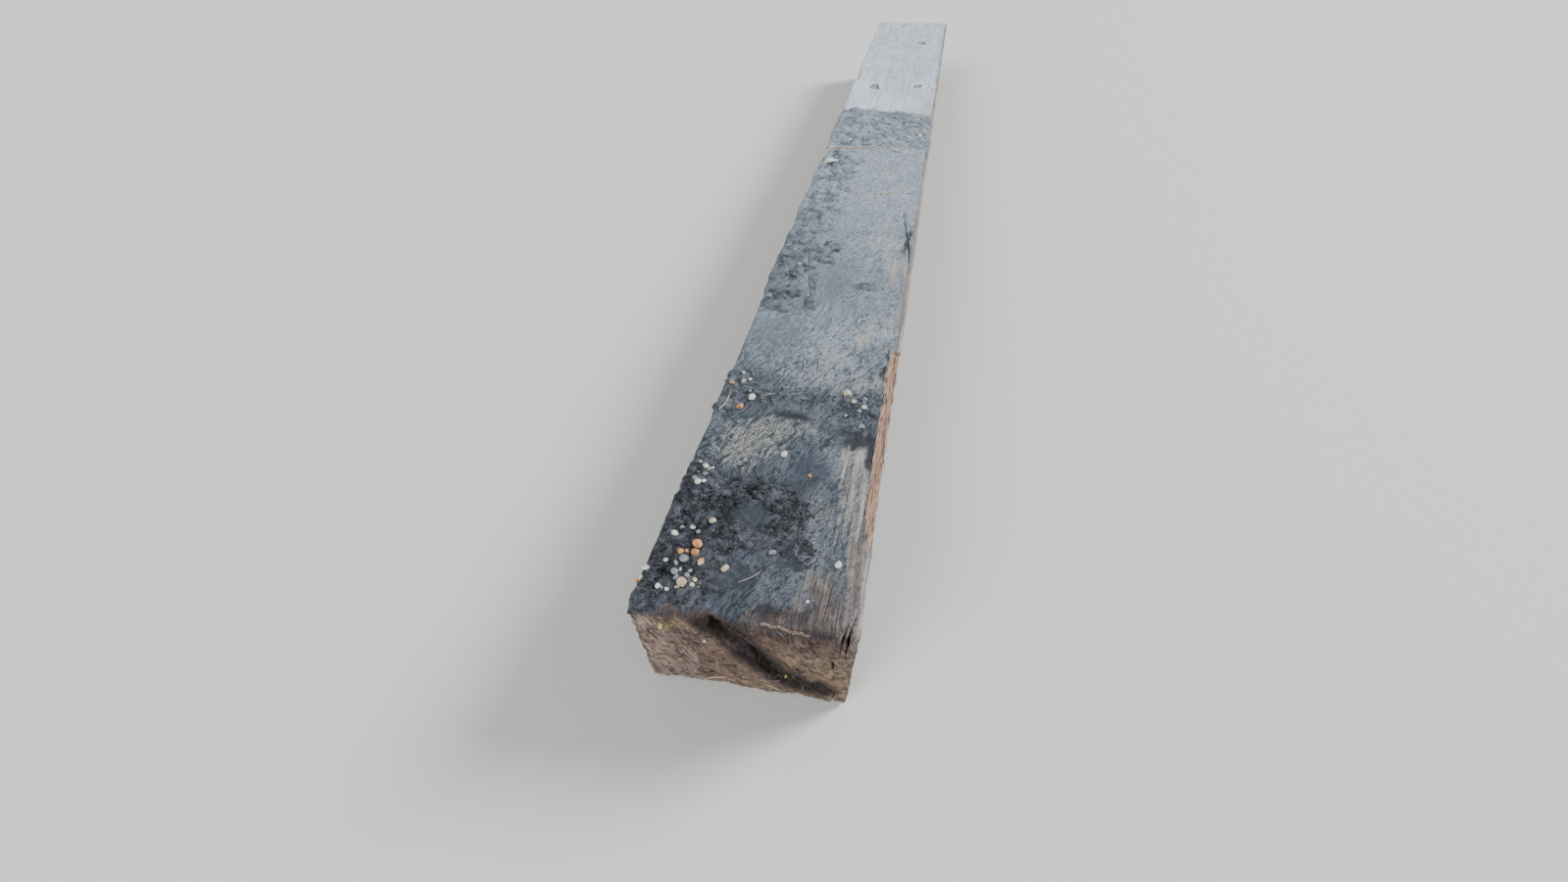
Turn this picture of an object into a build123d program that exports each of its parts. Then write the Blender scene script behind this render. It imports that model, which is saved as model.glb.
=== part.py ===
from build123d import *
import math
import os

# A sawn hardwood balk, lying on its underside at Z = 0 with its length along Y.
# The decayed end, called the near end, is at -Y, and right is +X. Sizes are in millimetres.
# A distance from the near end is counted from the middle of that end's face.
BEAM_LENGTH = 3000.0
BEAM_WIDTH = 300.0
BEAM_HEIGHT = 220.0

# Both ends were cut by eye, each askew in plan by this many degrees.
NEAR_SKEW = 3.4
FAR_SKEW = 6.0

# The four long arrises have worn unevenly.
ARRIS_TOP_LEFT = 9.0
ARRIS_TOP_RIGHT = 5.0
ARRIS_BOTTOM = 4.0

# How far a cutting solid stands clear of the wood that it cuts.
CLEAR = 12.0

# The top arris of the near end is rounded by wear, most at the right.
# Each row is a share of the width from the left, and how far the wear reaches there.
WORN_ARRIS = (
    (0.0, 7.0),
    (0.25, 11.0),
    (0.5, 15.0),
    (0.75, 24.0),
    (1.0, 19.0),
)
# How far the rounding bulges beyond a flat bevel, as a share of its reach.
WORN_FULLNESS = 0.22

# The bottom arris of the near end is broken away in dips between the saw's tear-out.
# Each row is a share of the width from the left, how far in it is broken, and how high.
BROKEN_ARRIS = (
    (0.0, 2.0, 3.0),
    (0.1, 5.0, 8.0),
    (0.24, 2.5, 3.5),
    (0.4, 9.0, 12.0),
    (0.52, 4.0, 5.0),
    (0.68, 8.0, 6.0),
    (0.8, 10.0, 13.0),
    (0.9, 4.0, 6.0),
    (1.0, 7.0, 9.0),
)

# A long splinter has torn off along the right top arris and left a sloping scar.
# Each row is a distance from the near end, how far in the scar reaches, and how far down.
SCAR = (
    (156.0, 2.0, 4.0),
    (178.0, 7.0, 11.0),
    (212.0, 14.0, 21.0),
    (338.0, 16.0, 25.0),
    (463.0, 15.0, 22.0),
    (555.0, 16.0, 20.0),
    (597.0, 11.0, 10.0),
)
SCAR_LIP = 3.0
SCAR_LIP_SLOPE = 1.5

# Drying checks in the top face, each one a V that narrows and runs out.
# Each row is a distance from the right side, a distance from the near end, the width, the depth.
END_CHECK_OUTER = (
    (14.0, -CLEAR, 5.0, 56.0),
    (12.0, 18.0, 4.5, 50.0),
    (8.5, 38.0, 2.6, 26.0),
    (6.0, 56.0, 0.8, 5.0),
)
END_CHECK_INNER = (
    (22.0, -CLEAR, 3.6, 62.0),
    (19.5, 16.0, 3.0, 46.0),
    (14.5, 37.0, 0.8, 4.0),
)
ARRIS_CHECK = (
    (8.0, 905.0, 0.8, 3.0),
    (10.5, 950.0, 4.0, 14.0),
    (14.0, 986.0, 5.0, 18.0),
    (23.0, 1041.0, 4.5, 17.0),
    (32.0, 1100.0, 3.0, 10.0),
    (41.0, 1165.0, 0.8, 3.0),
)
LONG_CHECK = (
    (193.0, 626.0, 0.8, 2.0),
    (195.0, 640.0, 2.4, 8.0),
    (209.0, 773.0, 3.6, 12.0),
    (230.0, 870.0, 2.4, 9.0),
    (238.0, 925.0, 0.8, 2.0),
)
DRAG_CHECK_LEFT = (
    (171.0, 500.0, 0.8, 2.0),
    (173.0, 522.0, 3.4, 7.0),
    (177.0, 546.0, 0.8, 2.0),
)
DRAG_CHECK_RIGHT = (
    (144.0, 502.0, 0.8, 2.0),
    (145.5, 524.0, 3.0, 6.0),
    (149.0, 548.0, 0.8, 2.0),
)
FAR_CHECK = (
    (151.0, 1893.0, 0.8, 2.0),
    (147.0, 1925.0, 2.6, 7.0),
    (144.0, 1958.0, 0.8, 2.0),
)
TOP_CHECKS = (
    END_CHECK_OUTER,
    END_CHECK_INNER,
    ARRIS_CHECK,
    LONG_CHECK,
    DRAG_CHECK_LEFT,
    DRAG_CHECK_RIGHT,
    FAR_CHECK,
)

# A split in the underside has nearly freed the lower right corner of the near end.
# The columns are those of the top checks, with the depth measured upwards.
CORNER_SPLIT = (
    (21.0, -CLEAR, 8.0, 46.0),
    (19.0, 14.0, 5.5, 42.0),
    (15.0, 62.0, 2.5, 24.0),
    (12.0, 95.0, 0.8, 5.0),
)

# Heart rot has eaten a channel that runs aslant down the near end's face.
# Each row is a distance from the right side, a height, and the channel's half width there.
ROT_RUN = (
    (189.0, 214.0, 8.0),
    (172.0, 192.0, 15.0),
    (156.0, 163.0, 25.0),
    (136.0, 132.0, 18.0),
    (121.0, 104.0, 12.0),
    (101.0, 77.0, 10.0),
    (72.0, 62.0, 21.0),
    (49.0, 55.0, 18.0),
)
# The channel is this deep at half the face's height. Its floor leans by this many degrees,
# so it is deeper in its wide upper part.
ROT_DEPTH = 16.0
ROT_FLOOR_LEAN = 5.0
ROT_FLOOR_SHARE = 0.45
ROT_TIP = 9.0

# Splits in the end grain fan out beside the channel, each a thin lens of this width.
# Each row is the distance from the right side and the height of both of its tips.
END_SPLITS = (
    ((95.0, 126.0), (77.0, 97.0)),
    ((79.0, 117.0), (57.0, 76.0)),
    ((125.0, 116.0), (102.0, 128.0)),
    ((27.0, 152.0), (25.0, 123.0)),
)
END_SPLIT_WIDTH = 4.0
END_SPLIT_DEPTH = 9.0

# Sunken places in the top face: a worn hollow, a knocked-out pit and three knots.
# Each row is a distance from the right side, from the near end, the size across,
# the size along, the depth and the share of the size that is left at the bottom.
SUNKEN_PLACES = (
    (220.0, 732.0, 42.0, 96.0, 6.0, 0.55),
    (96.0, 801.0, 34.0, 17.0, 11.0, 0.5),
    (220.0, 2069.0, 32.0, 44.0, 2.5, 0.6),
    (70.0, 2112.0, 20.0, 30.0, 2.0, 0.6),
    (93.0, 2650.0, 24.0, 34.0, 3.0, 0.6),
)

# The left top arris has lost a chip further along.
# Each row is a distance from the near end, how far in it is broken, and how far down.
LEFT_CHIP = (
    (2155.0, 6.0, 5.0),
    (2188.0, 15.0, 13.0),
    (2226.0, 13.0, 16.0),
    (2262.0, 6.0, 5.0),
)

LEFT = -BEAM_WIDTH / 2
RIGHT = BEAM_WIDTH / 2
NEAR_RISE = math.tan(math.radians(NEAR_SKEW))
FAR_RISE = math.tan(math.radians(FAR_SKEW))


def near_face_y(across):
    """The near end's face at this place across the beam, before any wear."""
    return -BEAM_LENGTH / 2 + (across - LEFT) * NEAR_RISE


# The near end's face, with its origin at the foot of the face's middle.
near_face = Plane(
    origin=(0, near_face_y(0), 0),
    x_dir=(1, NEAR_RISE, 0),
    z_dir=(NEAR_RISE, -1, 0),
)
# The far end's right corner is the beam's farthest point, and its left side was cut shorter.
far_face = Plane(
    origin=(RIGHT, BEAM_LENGTH / 2, 0),
    x_dir=(-1, -FAR_RISE, 0),
    z_dir=(-FAR_RISE, 1, 0),
)


def ruled_solid(sections):
    """A solid with flat facets between polygons, each given with the plane it lies on."""
    with BuildPart() as solid:
        for plane, corners in sections:
            with BuildSketch(plane):
                with BuildLine():
                    Polyline(*corners, close=True)
                make_face()
        loft(ruled=True)
    return solid.part


def cross_section(from_near_end):
    """The plane across the beam at this distance from the near end, counted at its middle."""
    return Plane.XZ.offset(-near_face_y(0) - from_near_end)


def check(rows, face_height, inwards):
    """A narrowing V from the top face, with inwards -1, or from the underside, with +1."""
    sections = []
    for from_right, from_near_end, width, depth in rows:
        middle = RIGHT - from_right
        mouth = face_height - inwards * CLEAR
        half_mouth = width / 2
        corners = [
            (middle - half_mouth, mouth),
            (middle - half_mouth, face_height),
            (middle, face_height + inwards * depth),
            (middle + half_mouth, face_height),
            (middle + half_mouth, mouth),
        ]
        sections.append((cross_section(from_near_end), corners))
    return ruled_solid(sections)


def torn_arris(rows, side, lip):
    """What has torn off a long top arris: side is +1 at the right and -1 at the left."""
    sections = []
    for from_near_end, inset, drop in rows:
        flank = side * BEAM_WIDTH / 2
        clear_flank = flank + side * CLEAR
        inner = flank - side * inset
        corners = [
            (inner, BEAM_HEIGHT + CLEAR),
            (inner, BEAM_HEIGHT),
            (inner + side * min(SCAR_LIP_SLOPE, inset / 3), BEAM_HEIGHT - min(lip, drop / 3)),
            (flank, BEAM_HEIGHT - drop),
            (clear_flank, BEAM_HEIGHT - drop),
            (clear_flank, BEAM_HEIGHT + CLEAR),
        ]
        sections.append((cross_section(from_near_end), corners))
    return ruled_solid(sections)


def across_near_end(share):
    """The place and the upright lengthwise plane at this share of the width from the left.

    The first and the last row stand clear of the beam's sides.
    """
    across = LEFT + share * BEAM_WIDTH
    if share == 0.0:
        across = LEFT - CLEAR
    if share == 1.0:
        across = RIGHT + CLEAR
    return across, Plane.YZ.offset(across)


def worn_end_arris():
    """What wear has taken off the near end's top arris: the corner outside a growing arc."""
    with BuildPart() as worn:
        for share, reach in WORN_ARRIS:
            across, plane = across_near_end(share)
            end = near_face_y(across)
            inner_y = end + reach
            inner_z = BEAM_HEIGHT - reach
            bulge = reach * WORN_FULLNESS * math.sqrt(0.5)
            with BuildSketch(plane):
                with BuildLine():
                    ThreePointArc(
                        (end, inner_z),
                        (end + reach / 2 - bulge, BEAM_HEIGHT - reach / 2 + bulge),
                        (inner_y, BEAM_HEIGHT),
                    )
                    Polyline(
                        (inner_y, BEAM_HEIGHT),
                        (inner_y, BEAM_HEIGHT + CLEAR),
                        (end - CLEAR, BEAM_HEIGHT + CLEAR),
                        (end - CLEAR, inner_z),
                        (end, inner_z),
                    )
                make_face()
        loft()
    return worn.part


def broken_end_arris():
    """What has broken off the near end's bottom arris."""
    sections = []
    for share, inset, rise in BROKEN_ARRIS:
        across, plane = across_near_end(share)
        end = near_face_y(across)
        corners = [
            (end - CLEAR, rise),
            (end, rise),
            (end + inset, 0),
            (end + inset, -CLEAR),
            (end - CLEAR, -CLEAR),
        ]
        sections.append((plane, corners))
    return ruled_solid(sections)


def rot_outline(share):
    """A ring of points round the rot channel, at this share of its full half width."""
    left_bank = []
    right_bank = []
    last = len(ROT_RUN) - 1
    for number, (from_right, height, half_width) in enumerate(ROT_RUN):
        before = ROT_RUN[max(number - 1, 0)]
        after = ROT_RUN[min(number + 1, last)]
        run = Vector(before[0] - after[0], after[1] - before[1]).normalized()
        middle = Vector(RIGHT - from_right, height)
        sideways = Vector(-run.Y, run.X) * half_width * share
        left_bank.append(middle - sideways)
        right_bank.append(middle + sideways)
        if number == 0:
            first_tip = middle - run * ROT_TIP * share
        if number == last:
            last_tip = middle + run * ROT_TIP * share
    return [first_tip] + right_bank + [last_tip] + left_bank[::-1]


def rot_channel():
    """The rotten channel, with a rounded outline and banks that slope to a narrower floor."""
    mouth_share = 1.0 + CLEAR / ROT_DEPTH * (1 - ROT_FLOOR_SHARE)
    depth_at_foot = ROT_DEPTH - BEAM_HEIGHT / 2 * math.tan(math.radians(ROT_FLOOR_LEAN))
    floor = near_face.offset(-depth_at_foot).rotated((-ROT_FLOOR_LEAN, 0, 0))
    with BuildPart() as channel:
        for plane, share in ((near_face.offset(CLEAR), mouth_share), (floor, ROT_FLOOR_SHARE)):
            with BuildSketch(plane):
                with BuildLine():
                    Spline(*rot_outline(share), periodic=True)
                make_face()
        loft()
    return channel.part


def end_split(first_tip, last_tip):
    """One split in the near end's face, a thin lens that narrows inwards."""
    start = Vector(RIGHT - first_tip[0], first_tip[1])
    stop = Vector(RIGHT - last_tip[0], last_tip[1])
    middle = (start + stop) / 2
    along = (stop - start).normalized()
    with BuildPart() as split_cut:
        for inwards, share in ((-CLEAR, 1.0), (0.0, 1.0), (END_SPLIT_DEPTH, 0.2)):
            sideways = Vector(-along.Y, along.X) * END_SPLIT_WIDTH / 2 * share
            reach = (stop - start) / 2 * share
            with BuildSketch(near_face.offset(-inwards)):
                with BuildLine():
                    Polyline(
                        middle - reach,
                        middle - sideways,
                        middle + reach,
                        middle + sideways,
                        close=True,
                    )
                make_face()
        loft(ruled=True)
    return split_cut.part


def sunken_place(from_right, from_near_end, across, along, depth, floor_share):
    """A sunken place in the top face, with banks that slope to a smaller floor."""
    place = (RIGHT - from_right, near_face_y(0) + from_near_end)
    with BuildPart() as sunken:
        for height, share in ((BEAM_HEIGHT + CLEAR, 1.0), (BEAM_HEIGHT, 1.0),
                              (BEAM_HEIGHT - depth, floor_share)):
            with BuildSketch(Plane.XY.offset(height)):
                with Locations(place):
                    Ellipse(across / 2 * share, along / 2 * share)
        loft(ruled=True)
    return sunken.part


cuts = [check(rows, BEAM_HEIGHT, -1) for rows in TOP_CHECKS]
cuts.append(check(CORNER_SPLIT, 0, 1))
cuts.append(torn_arris(SCAR, 1, SCAR_LIP))
cuts.append(torn_arris(LEFT_CHIP, -1, SCAR_LIP))
cuts.append(worn_end_arris())
cuts.append(broken_end_arris())
cuts.append(rot_channel())
cuts.extend(end_split(*tips) for tips in END_SPLITS)
cuts.extend(sunken_place(*row) for row in SUNKEN_PLACES)

with BuildPart() as beam:
    with BuildSketch(Plane.XZ):
        Rectangle(BEAM_WIDTH, BEAM_HEIGHT, align=(Align.CENTER, Align.MIN))
        bottom_corners, top_corners = vertices().group_by(Axis.Y)
        fillet(top_corners.sort_by(Axis.X)[0], ARRIS_TOP_LEFT)
        fillet(top_corners.sort_by(Axis.X)[-1], ARRIS_TOP_RIGHT)
        fillet(bottom_corners, ARRIS_BOTTOM)
    extrude(amount=BEAM_LENGTH / 2, both=True)
    split(bisect_by=near_face, keep=Keep.BOTTOM)
    split(bisect_by=far_face, keep=Keep.BOTTOM)
    for cut in cuts:
        add(cut, mode=Mode.SUBTRACT)

beam.part.label = "beam"
os.makedirs("parts", exist_ok=True)
export_step(beam.part, "parts/beam.step")
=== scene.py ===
# %% [markdown]
# # A weathered hardwood beam
# This lesson dresses one sawn balk of hardwood that has lain outdoors for years. Its solid comes
# ready made and stays where it is. What is left to make is what the eye reads as age: grey grain, a
# decayed end, an arris torn to splinters, and a skin of mud with stones and straws in it.
# Lengths are in metres, apart from the places and sizes of things on the beam, which are in
# millimetres. The beam lies along Y with its underside on the floor.

# %% The frame
import math
import random

import bmesh
import bpy
from mathutils import Euler, Matrix, Vector, noise
from mathutils.bvhtree import BVHTree


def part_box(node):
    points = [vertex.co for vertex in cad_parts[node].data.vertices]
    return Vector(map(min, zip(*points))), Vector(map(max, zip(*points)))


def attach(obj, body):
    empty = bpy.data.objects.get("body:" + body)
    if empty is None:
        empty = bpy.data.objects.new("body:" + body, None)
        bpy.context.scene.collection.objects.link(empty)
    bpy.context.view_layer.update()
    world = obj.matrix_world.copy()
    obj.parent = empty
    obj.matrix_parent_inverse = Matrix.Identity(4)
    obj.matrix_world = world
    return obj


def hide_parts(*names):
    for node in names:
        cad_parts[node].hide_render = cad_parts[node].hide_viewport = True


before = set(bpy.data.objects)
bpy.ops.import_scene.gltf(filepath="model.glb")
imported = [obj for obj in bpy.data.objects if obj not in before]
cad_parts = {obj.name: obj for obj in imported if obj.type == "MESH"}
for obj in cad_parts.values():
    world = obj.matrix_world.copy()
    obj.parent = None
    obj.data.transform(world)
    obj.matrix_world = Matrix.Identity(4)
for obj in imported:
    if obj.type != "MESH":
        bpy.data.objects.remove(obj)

noise.seed_set(343)  # without a seed, noise_vector changes from run to run
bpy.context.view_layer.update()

# %% [markdown]
# ## Finding places on the beam
# A carpenter measures from an end and from an edge. The helpers here do the same: a place on the beam
# is so many millimetres right of its middle, so many from the near end, and so high above the floor.
# Both ends are sawn a little askew, so distances start from the middle of the near end, and each end
# has its own lean.

# %% Places on the beam
MM = 0.001
LOW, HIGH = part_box("beam")
WIDTH = HIGH.x - LOW.x
LENGTH = HIGH.y - LOW.y
HEIGHT = HIGH.z - LOW.z
NEAR_RISE = math.tan(math.radians(3.4))
FAR_RISE = math.tan(math.radians(6.0))
NEAR_MIDDLE = LOW.y + WIDTH / 2 * NEAR_RISE
FAR_MIDDLE = HIGH.y - WIDTH / 2 * FAR_RISE
DOWN = Vector((0.0, 0.0, -1.0))


def spot(across, along, up=HEIGHT / MM):
    """A place on the beam, from millimetres."""
    return Vector((across * MM, NEAR_MIDDLE + along * MM, up * MM))


def on_end(across, up, proud=0.0):
    """A place on the near end's face, so many millimetres in front of it."""
    return Vector((across * MM, NEAR_MIDDLE + across * MM * NEAR_RISE - proud * MM, up * MM))


def behind_end(point):
    """How far a point is behind the near end's face, in metres."""
    return point.y - NEAR_MIDDLE - point.x * NEAR_RISE


def from_near(point):
    """How far a point is from the near end, in millimetres."""
    return (point.y - NEAR_MIDDLE) / MM


def ease(value, start, stop):
    """Goes smoothly from 0 at start to 1 at stop."""
    share = min(max((value - start) / (stop - start), 0.0), 1.0)
    return share * share * (3.0 - 2.0 * share)


print(f"beam {WIDTH:.3f} x {LENGTH:.3f} x {HEIGHT:.3f} m, near end's middle at y {NEAR_MIDDLE:.4f}")

# %% [markdown]
# ## The camera
# The beam was seen from standing height by a phone with a very wide lens, pointed steeply down at the
# near end. A wide lens close by makes the near end large and lets the far end run away, so the lens
# length matters as much as the place.

# %% Camera
bpy.ops.object.camera_add(
    location=(0.1265, -1.8028, 0.9412),
    rotation=(math.radians(42.176), 0.0, math.radians(12.572)),
)
camera = bpy.context.object
camera.data.sensor_width = 36.0
camera.data.lens = 13.583
camera.data.clip_start = 0.02
bpy.context.scene.camera = camera
print("camera", [round(c, 4) for c in camera.location], "lens", camera.data.lens)

# %% [markdown]
# ## Writing shaders as sums
# A material here is a long recipe, and wiring it by hand hides the idea. So one small class wraps a
# node's output and lets it be added, multiplied or divided like a number, and one method makes any
# other node. Colours are written from 0 to 255, as on a paint chart, and turned into light values by
# `tone`.


# %% A link between nodes
class Link:
    """The output of a node, which can be used in a sum."""

    def __init__(self, recipe, socket):
        self.recipe = recipe
        self.socket = socket

    def out(self, name):
        """Another output of the same node."""
        return Link(self.recipe, self.socket.node.outputs[name])

    def sum(self, operation, first, second):
        return self.recipe.node("Math", {"operation": operation}, {0: first, 1: second})

    def __add__(self, other):
        return self.sum("ADD", self, other)

    def __radd__(self, other):
        return self.sum("ADD", other, self)

    def __sub__(self, other):
        return self.sum("SUBTRACT", self, other)

    def __rsub__(self, other):
        return self.sum("SUBTRACT", other, self)

    def __mul__(self, other):
        return self.sum("MULTIPLY", self, other)

    def __rmul__(self, other):
        return self.sum("MULTIPLY", other, self)

    def __truediv__(self, other):
        return self.sum("DIVIDE", self, other)

    def __rtruediv__(self, other):
        return self.sum("DIVIDE", other, self)


print("a link can be used with + - * /")


# %% Recipes and finishes
class Recipe:
    """A tree of nodes, and the one way to add a node to it."""

    def __init__(self, tree):
        self.tree = tree
        tree.nodes.clear()

    def node(self, kind, settings=None, inputs=None, output=0):
        """Adds a node: its settings first, then a value or a link for each socket."""
        made = self.tree.nodes.new("ShaderNode" + kind)
        for setting, value in (settings or {}).items():
            setattr(made, setting, value)
        for name, value in (inputs or {}).items():
            if isinstance(value, Link):
                self.tree.links.new(value.socket, made.inputs[name])
            else:
                made.inputs[name].default_value = value
        return None if output is None else Link(self, made.outputs[output])


class Finish(Recipe):
    """One material, drawn at the piece's own places."""

    def __init__(self, name):
        self.material = bpy.data.materials.new(name)
        self.material.use_nodes = True
        super().__init__(self.material.node_tree)
        self.place = self.node("TexCoord", output="Object")

    def mark(self, name):
        """A rule of place that was stored on the mesh."""
        return self.node("Attribute", {"attribute_name": name}, output="Fac")

    def colour(self, value):
        """A plain colour that other nodes can change."""
        return self.node("Mix", {"data_type": "RGBA"}, {0: 0.0, 6: value, 7: value}, 2)

    def facing_up(self):
        """1 on a level top, 0 on a side and -1 underneath."""
        return self.node("SeparateXYZ", {}, {0: self.node("TexCoord", output="Normal")}).out("Z")

    def bump(self, height, distance, strength=1.0):
        """Relief too fine for the mesh."""
        return self.node("Bump", {}, {"Strength": strength, "Distance": distance, "Height": height})

    def surface(self, colour, roughness, bump=None, shine=0.5):
        """Ends the recipe with the shader that light meets."""
        values = {"Base Color": colour, "Roughness": roughness, "Specular IOR Level": shine}
        if bump:
            values["Normal"] = bump
        shader = self.node("BsdfPrincipled", {}, values)
        self.node("OutputMaterial", {}, {"Surface": shader}, None)
        return self.material


print("a finish can", ", ".join(name for name in vars(Finish) if not name.startswith("__")))


# %% Colours laid over one another
def tone(red, green, blue):
    """A colour from 0 to 255, as light."""
    light = []
    for part in (red, green, blue):
        share = part / 255.0
        light.append(share / 12.92 if share <= 0.04045 else ((share + 0.055) / 1.055) ** 2.4)
    return (*light, 1.0)


def coat(under, over, share):
    """Lays one colour over another where share is 1."""
    return share.recipe.node("Mix", {"data_type": "RGBA"}, {0: share, 6: under, 7: over}, 2)


def coats(under, *layers):
    """Lays several colours over one another, each with its share."""
    for over, share in layers:
        under = coat(under, over, share)
    return under


def shade(colour, factor):
    """Makes a colour lighter or darker by a changing factor."""
    return colour.recipe.node("VectorMath", {"operation": "SCALE"}, {0: colour, "Scale": factor})


print("a mid grey as light:", round(tone(128, 128, 128)[0], 3))


# %% Noises and masks
def scaled(place, size, drawn=1.0):
    """The same place, measured in units of size metres, and of drawn times as much along the grain."""
    scale = (1.0 / size, 1.0 / (size * drawn), 1.0 / size)
    return place.recipe.node("Mapping", {}, {"Vector": place, "Scale": scale})


def raw_noise(place, detail, rough, output=0):
    values = {"Vector": place, "Scale": 1.0, "Detail": detail, "Roughness": rough}
    return place.recipe.node("TexNoise", {}, values, output)


def cloud(place, size, detail=3.0, rough=0.5, drawn=1.0, output=0):
    """Noise whose blobs are about size metres, and drawn times as long along the grain."""
    return raw_noise(scaled(place, size, drawn), detail, rough, output)


def grains(place, size):
    """Grains packed together: the distance from each grain's middle, and a chance number per grain."""
    values = {"Vector": scaled(place, size), "Scale": 1.0}
    cell = place.recipe.node("TexVoronoi", {"feature": "F1"}, values, "Distance")
    return cell, place.recipe.node("SeparateColor", {}, {0: cell.out("Color")})


def fade(value, start, stop, low=0.0, high=1.0):
    """Smoothly from low at start to high at stop."""
    limits = {0: value, 1: start, 2: stop, 3: low, 4: high}
    return value.recipe.node("MapRange", {"interpolation_type": "SMOOTHSTEP"}, limits)


def most(first, second):
    return first.sum("MAXIMUM", first, second)


def least(first, second):
    return first.sum("MINIMUM", first, second)


def unsigned(value):
    return value.recipe.node("Math", {"operation": "ABSOLUTE"}, {0: value})


def wander(place, size, amount):
    """The same place, shifted about at random, so that what is drawn with it has a broken edge."""
    shake = cloud(place, size, 4.0, 0.6, output=1)
    centred = place.recipe.node("VectorMath", {"operation": "SUBTRACT"}, {0: shake, 1: (0.5, 0.5, 0.5)})
    reach = (2.0 * amount, 2.0 * amount, 2.0 * amount)
    return place.recipe.node("VectorMath", {"operation": "MULTIPLY_ADD"}, {0: centred, 1: reach, 2: place})


def ragged(mask, *noises):
    """Breaks a soft mask up with noises, so that its edge is a scatter of bits and not a line."""
    for shake, weight in noises:
        mask = mask + (shake - 0.5) * weight
    return fade(mask, 0.26, 0.78)


print("shader helpers ready")

# %% [markdown]
# ## Floor and light
# The beam lay under a bright overcast sky. One broad sun stands behind and to the right, low enough
# to rake over the top, because raking light is what makes mud and grain readable. A weaker one lights
# the near end. Suns were chosen over lamps because they light the whole floor evenly, however far the
# eye is. The world fills in the rest, and its colour behind the floor is set apart from what it
# sheds.

# %% Floor
FLOOR_COLOUR = (0.66, 0.66, 0.65, 1.0)
FLOOR_SIZE = 80.0
FLOOR_DROP = 0.0005  # so that the floor doesn't show through the underside

bpy.ops.mesh.primitive_plane_add(size=FLOOR_SIZE, location=(0.0, 0.0, -FLOOR_DROP))
floor = bpy.context.object
floor.name = "floor"
floor.data.materials.append(Finish("floor_paint").surface(FLOOR_COLOUR, 0.9))
print("floor", FLOOR_SIZE, "m wide")

# %% Suns and world
SKY_COLOUR = (0.97, 0.985, 1.0, 1.0)
SKY_STRENGTH = 0.5
BACKDROP_COLOUR = (0.68, 0.68, 0.67, 1.0)


def broad_sun(name, source, strength, spread):
    """Even light from a direction, as soft as its spread in degrees."""
    bpy.ops.object.light_add(type="SUN", location=source)
    sun = bpy.context.object
    sun.name = name
    sun.rotation_euler = (-Vector(source)).to_track_quat("-Z", "Y").to_euler()
    sun.data.energy = strength
    sun.data.angle = math.radians(spread)
    return sun


broad_sun("raking_sun", (3.4, 2.6, 2.6), 4.4, 20.0)
broad_sun("front_sun", (-2.2, -3.4, 2.4), 2.6, 34.0)

world = bpy.data.worlds.new("studio")
bpy.context.scene.world = world
world.use_nodes = True
air = Recipe(world.node_tree)
sky = air.node("Background", {}, {"Color": SKY_COLOUR, "Strength": SKY_STRENGTH})
backdrop = air.node("Background", {}, {"Color": BACKDROP_COLOUR, "Strength": 1.0})
seen = air.node("LightPath", output="Is Camera Ray")
shown = air.node("MixShader", {}, {0: seen, 1: sky, 2: backdrop})
air.node("OutputWorld", {}, {"Surface": shown}, None)

# %% [markdown]
# ## Working on a mesh
# Modelling tools act on whatever is selected, so each step first deselects everything and then picks
# faces by where they are and which way they face. A relief helper presses a noise into a surface with
# a Displace modifier. An empty, scaled to the size of the noise's blobs, draws it out along the
# grain.


# %% Picking and cutting
def only(piece):
    """Selects one piece alone."""
    bpy.ops.object.select_all(action="DESELECT")
    piece.select_set(True)
    bpy.context.view_layer.objects.active = piece
    return piece


def nothing():
    """Deselects every piece, before a new one is made."""
    bpy.ops.object.select_all(action="DESELECT")


def named(name):
    """The piece that a tool has just made, with its name."""
    piece = bpy.context.object
    piece.name = name
    return piece


def smooth(angle):
    """Smooth shading on the picked piece, except over edges sharper than an angle in degrees."""
    bpy.ops.object.shade_smooth_by_angle(angle=math.radians(angle))


def edit(piece):
    only(piece)
    bpy.ops.object.mode_set(mode="EDIT")
    bpy.ops.mesh.select_mode(type="FACE")


def done():
    bpy.ops.object.mode_set(mode="OBJECT")


def everything():
    """In edit mode, selects all that isn't hidden."""
    bpy.ops.mesh.select_all(action="SELECT")


def pick(piece, test, larger_than=0.0):
    """In edit mode, selects faces that pass a test and are larger than so many square millimetres."""
    bpy.ops.mesh.select_all(action="DESELECT")
    mesh = bmesh.from_edit_mesh(piece.data)
    for face in mesh.faces:
        if test(face.calc_center_median(), face.normal) and face.calc_area() > larger_than * MM * MM:
            face.select_set(True)
    bmesh.update_edit_mesh(piece.data)


def cut(places, normal):
    """Cuts new edges through all visible faces, at each place."""
    for place in places:
        everything()
        bpy.ops.mesh.bisect(plane_co=place, plane_no=normal(place) if callable(normal) else normal)


def triangles():
    bpy.ops.mesh.quads_convert_to_tris(quad_method="BEAUTY", ngon_method="BEAUTY")


print("picking tools ready")


# %% Pressing relief
def apply(piece, kind, **settings):
    """Puts a modifier on a piece, with its settings, and makes it part of the mesh."""
    modifier = only(piece).modifiers.new(kind.title(), kind)
    for setting, value in settings.items():
        setattr(modifier, setting, value)
    bpy.ops.object.modifier_apply(modifier=modifier.name)


def weigh(piece, name, rule):
    """A vertex group whose weights follow a rule of place."""
    group = piece.vertex_groups.new(name=name)
    for vertex in piece.data.vertices:
        share = rule(vertex.co)
        if share > 0.0:
            group.add([vertex.index], min(share, 1.0), "REPLACE")


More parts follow.
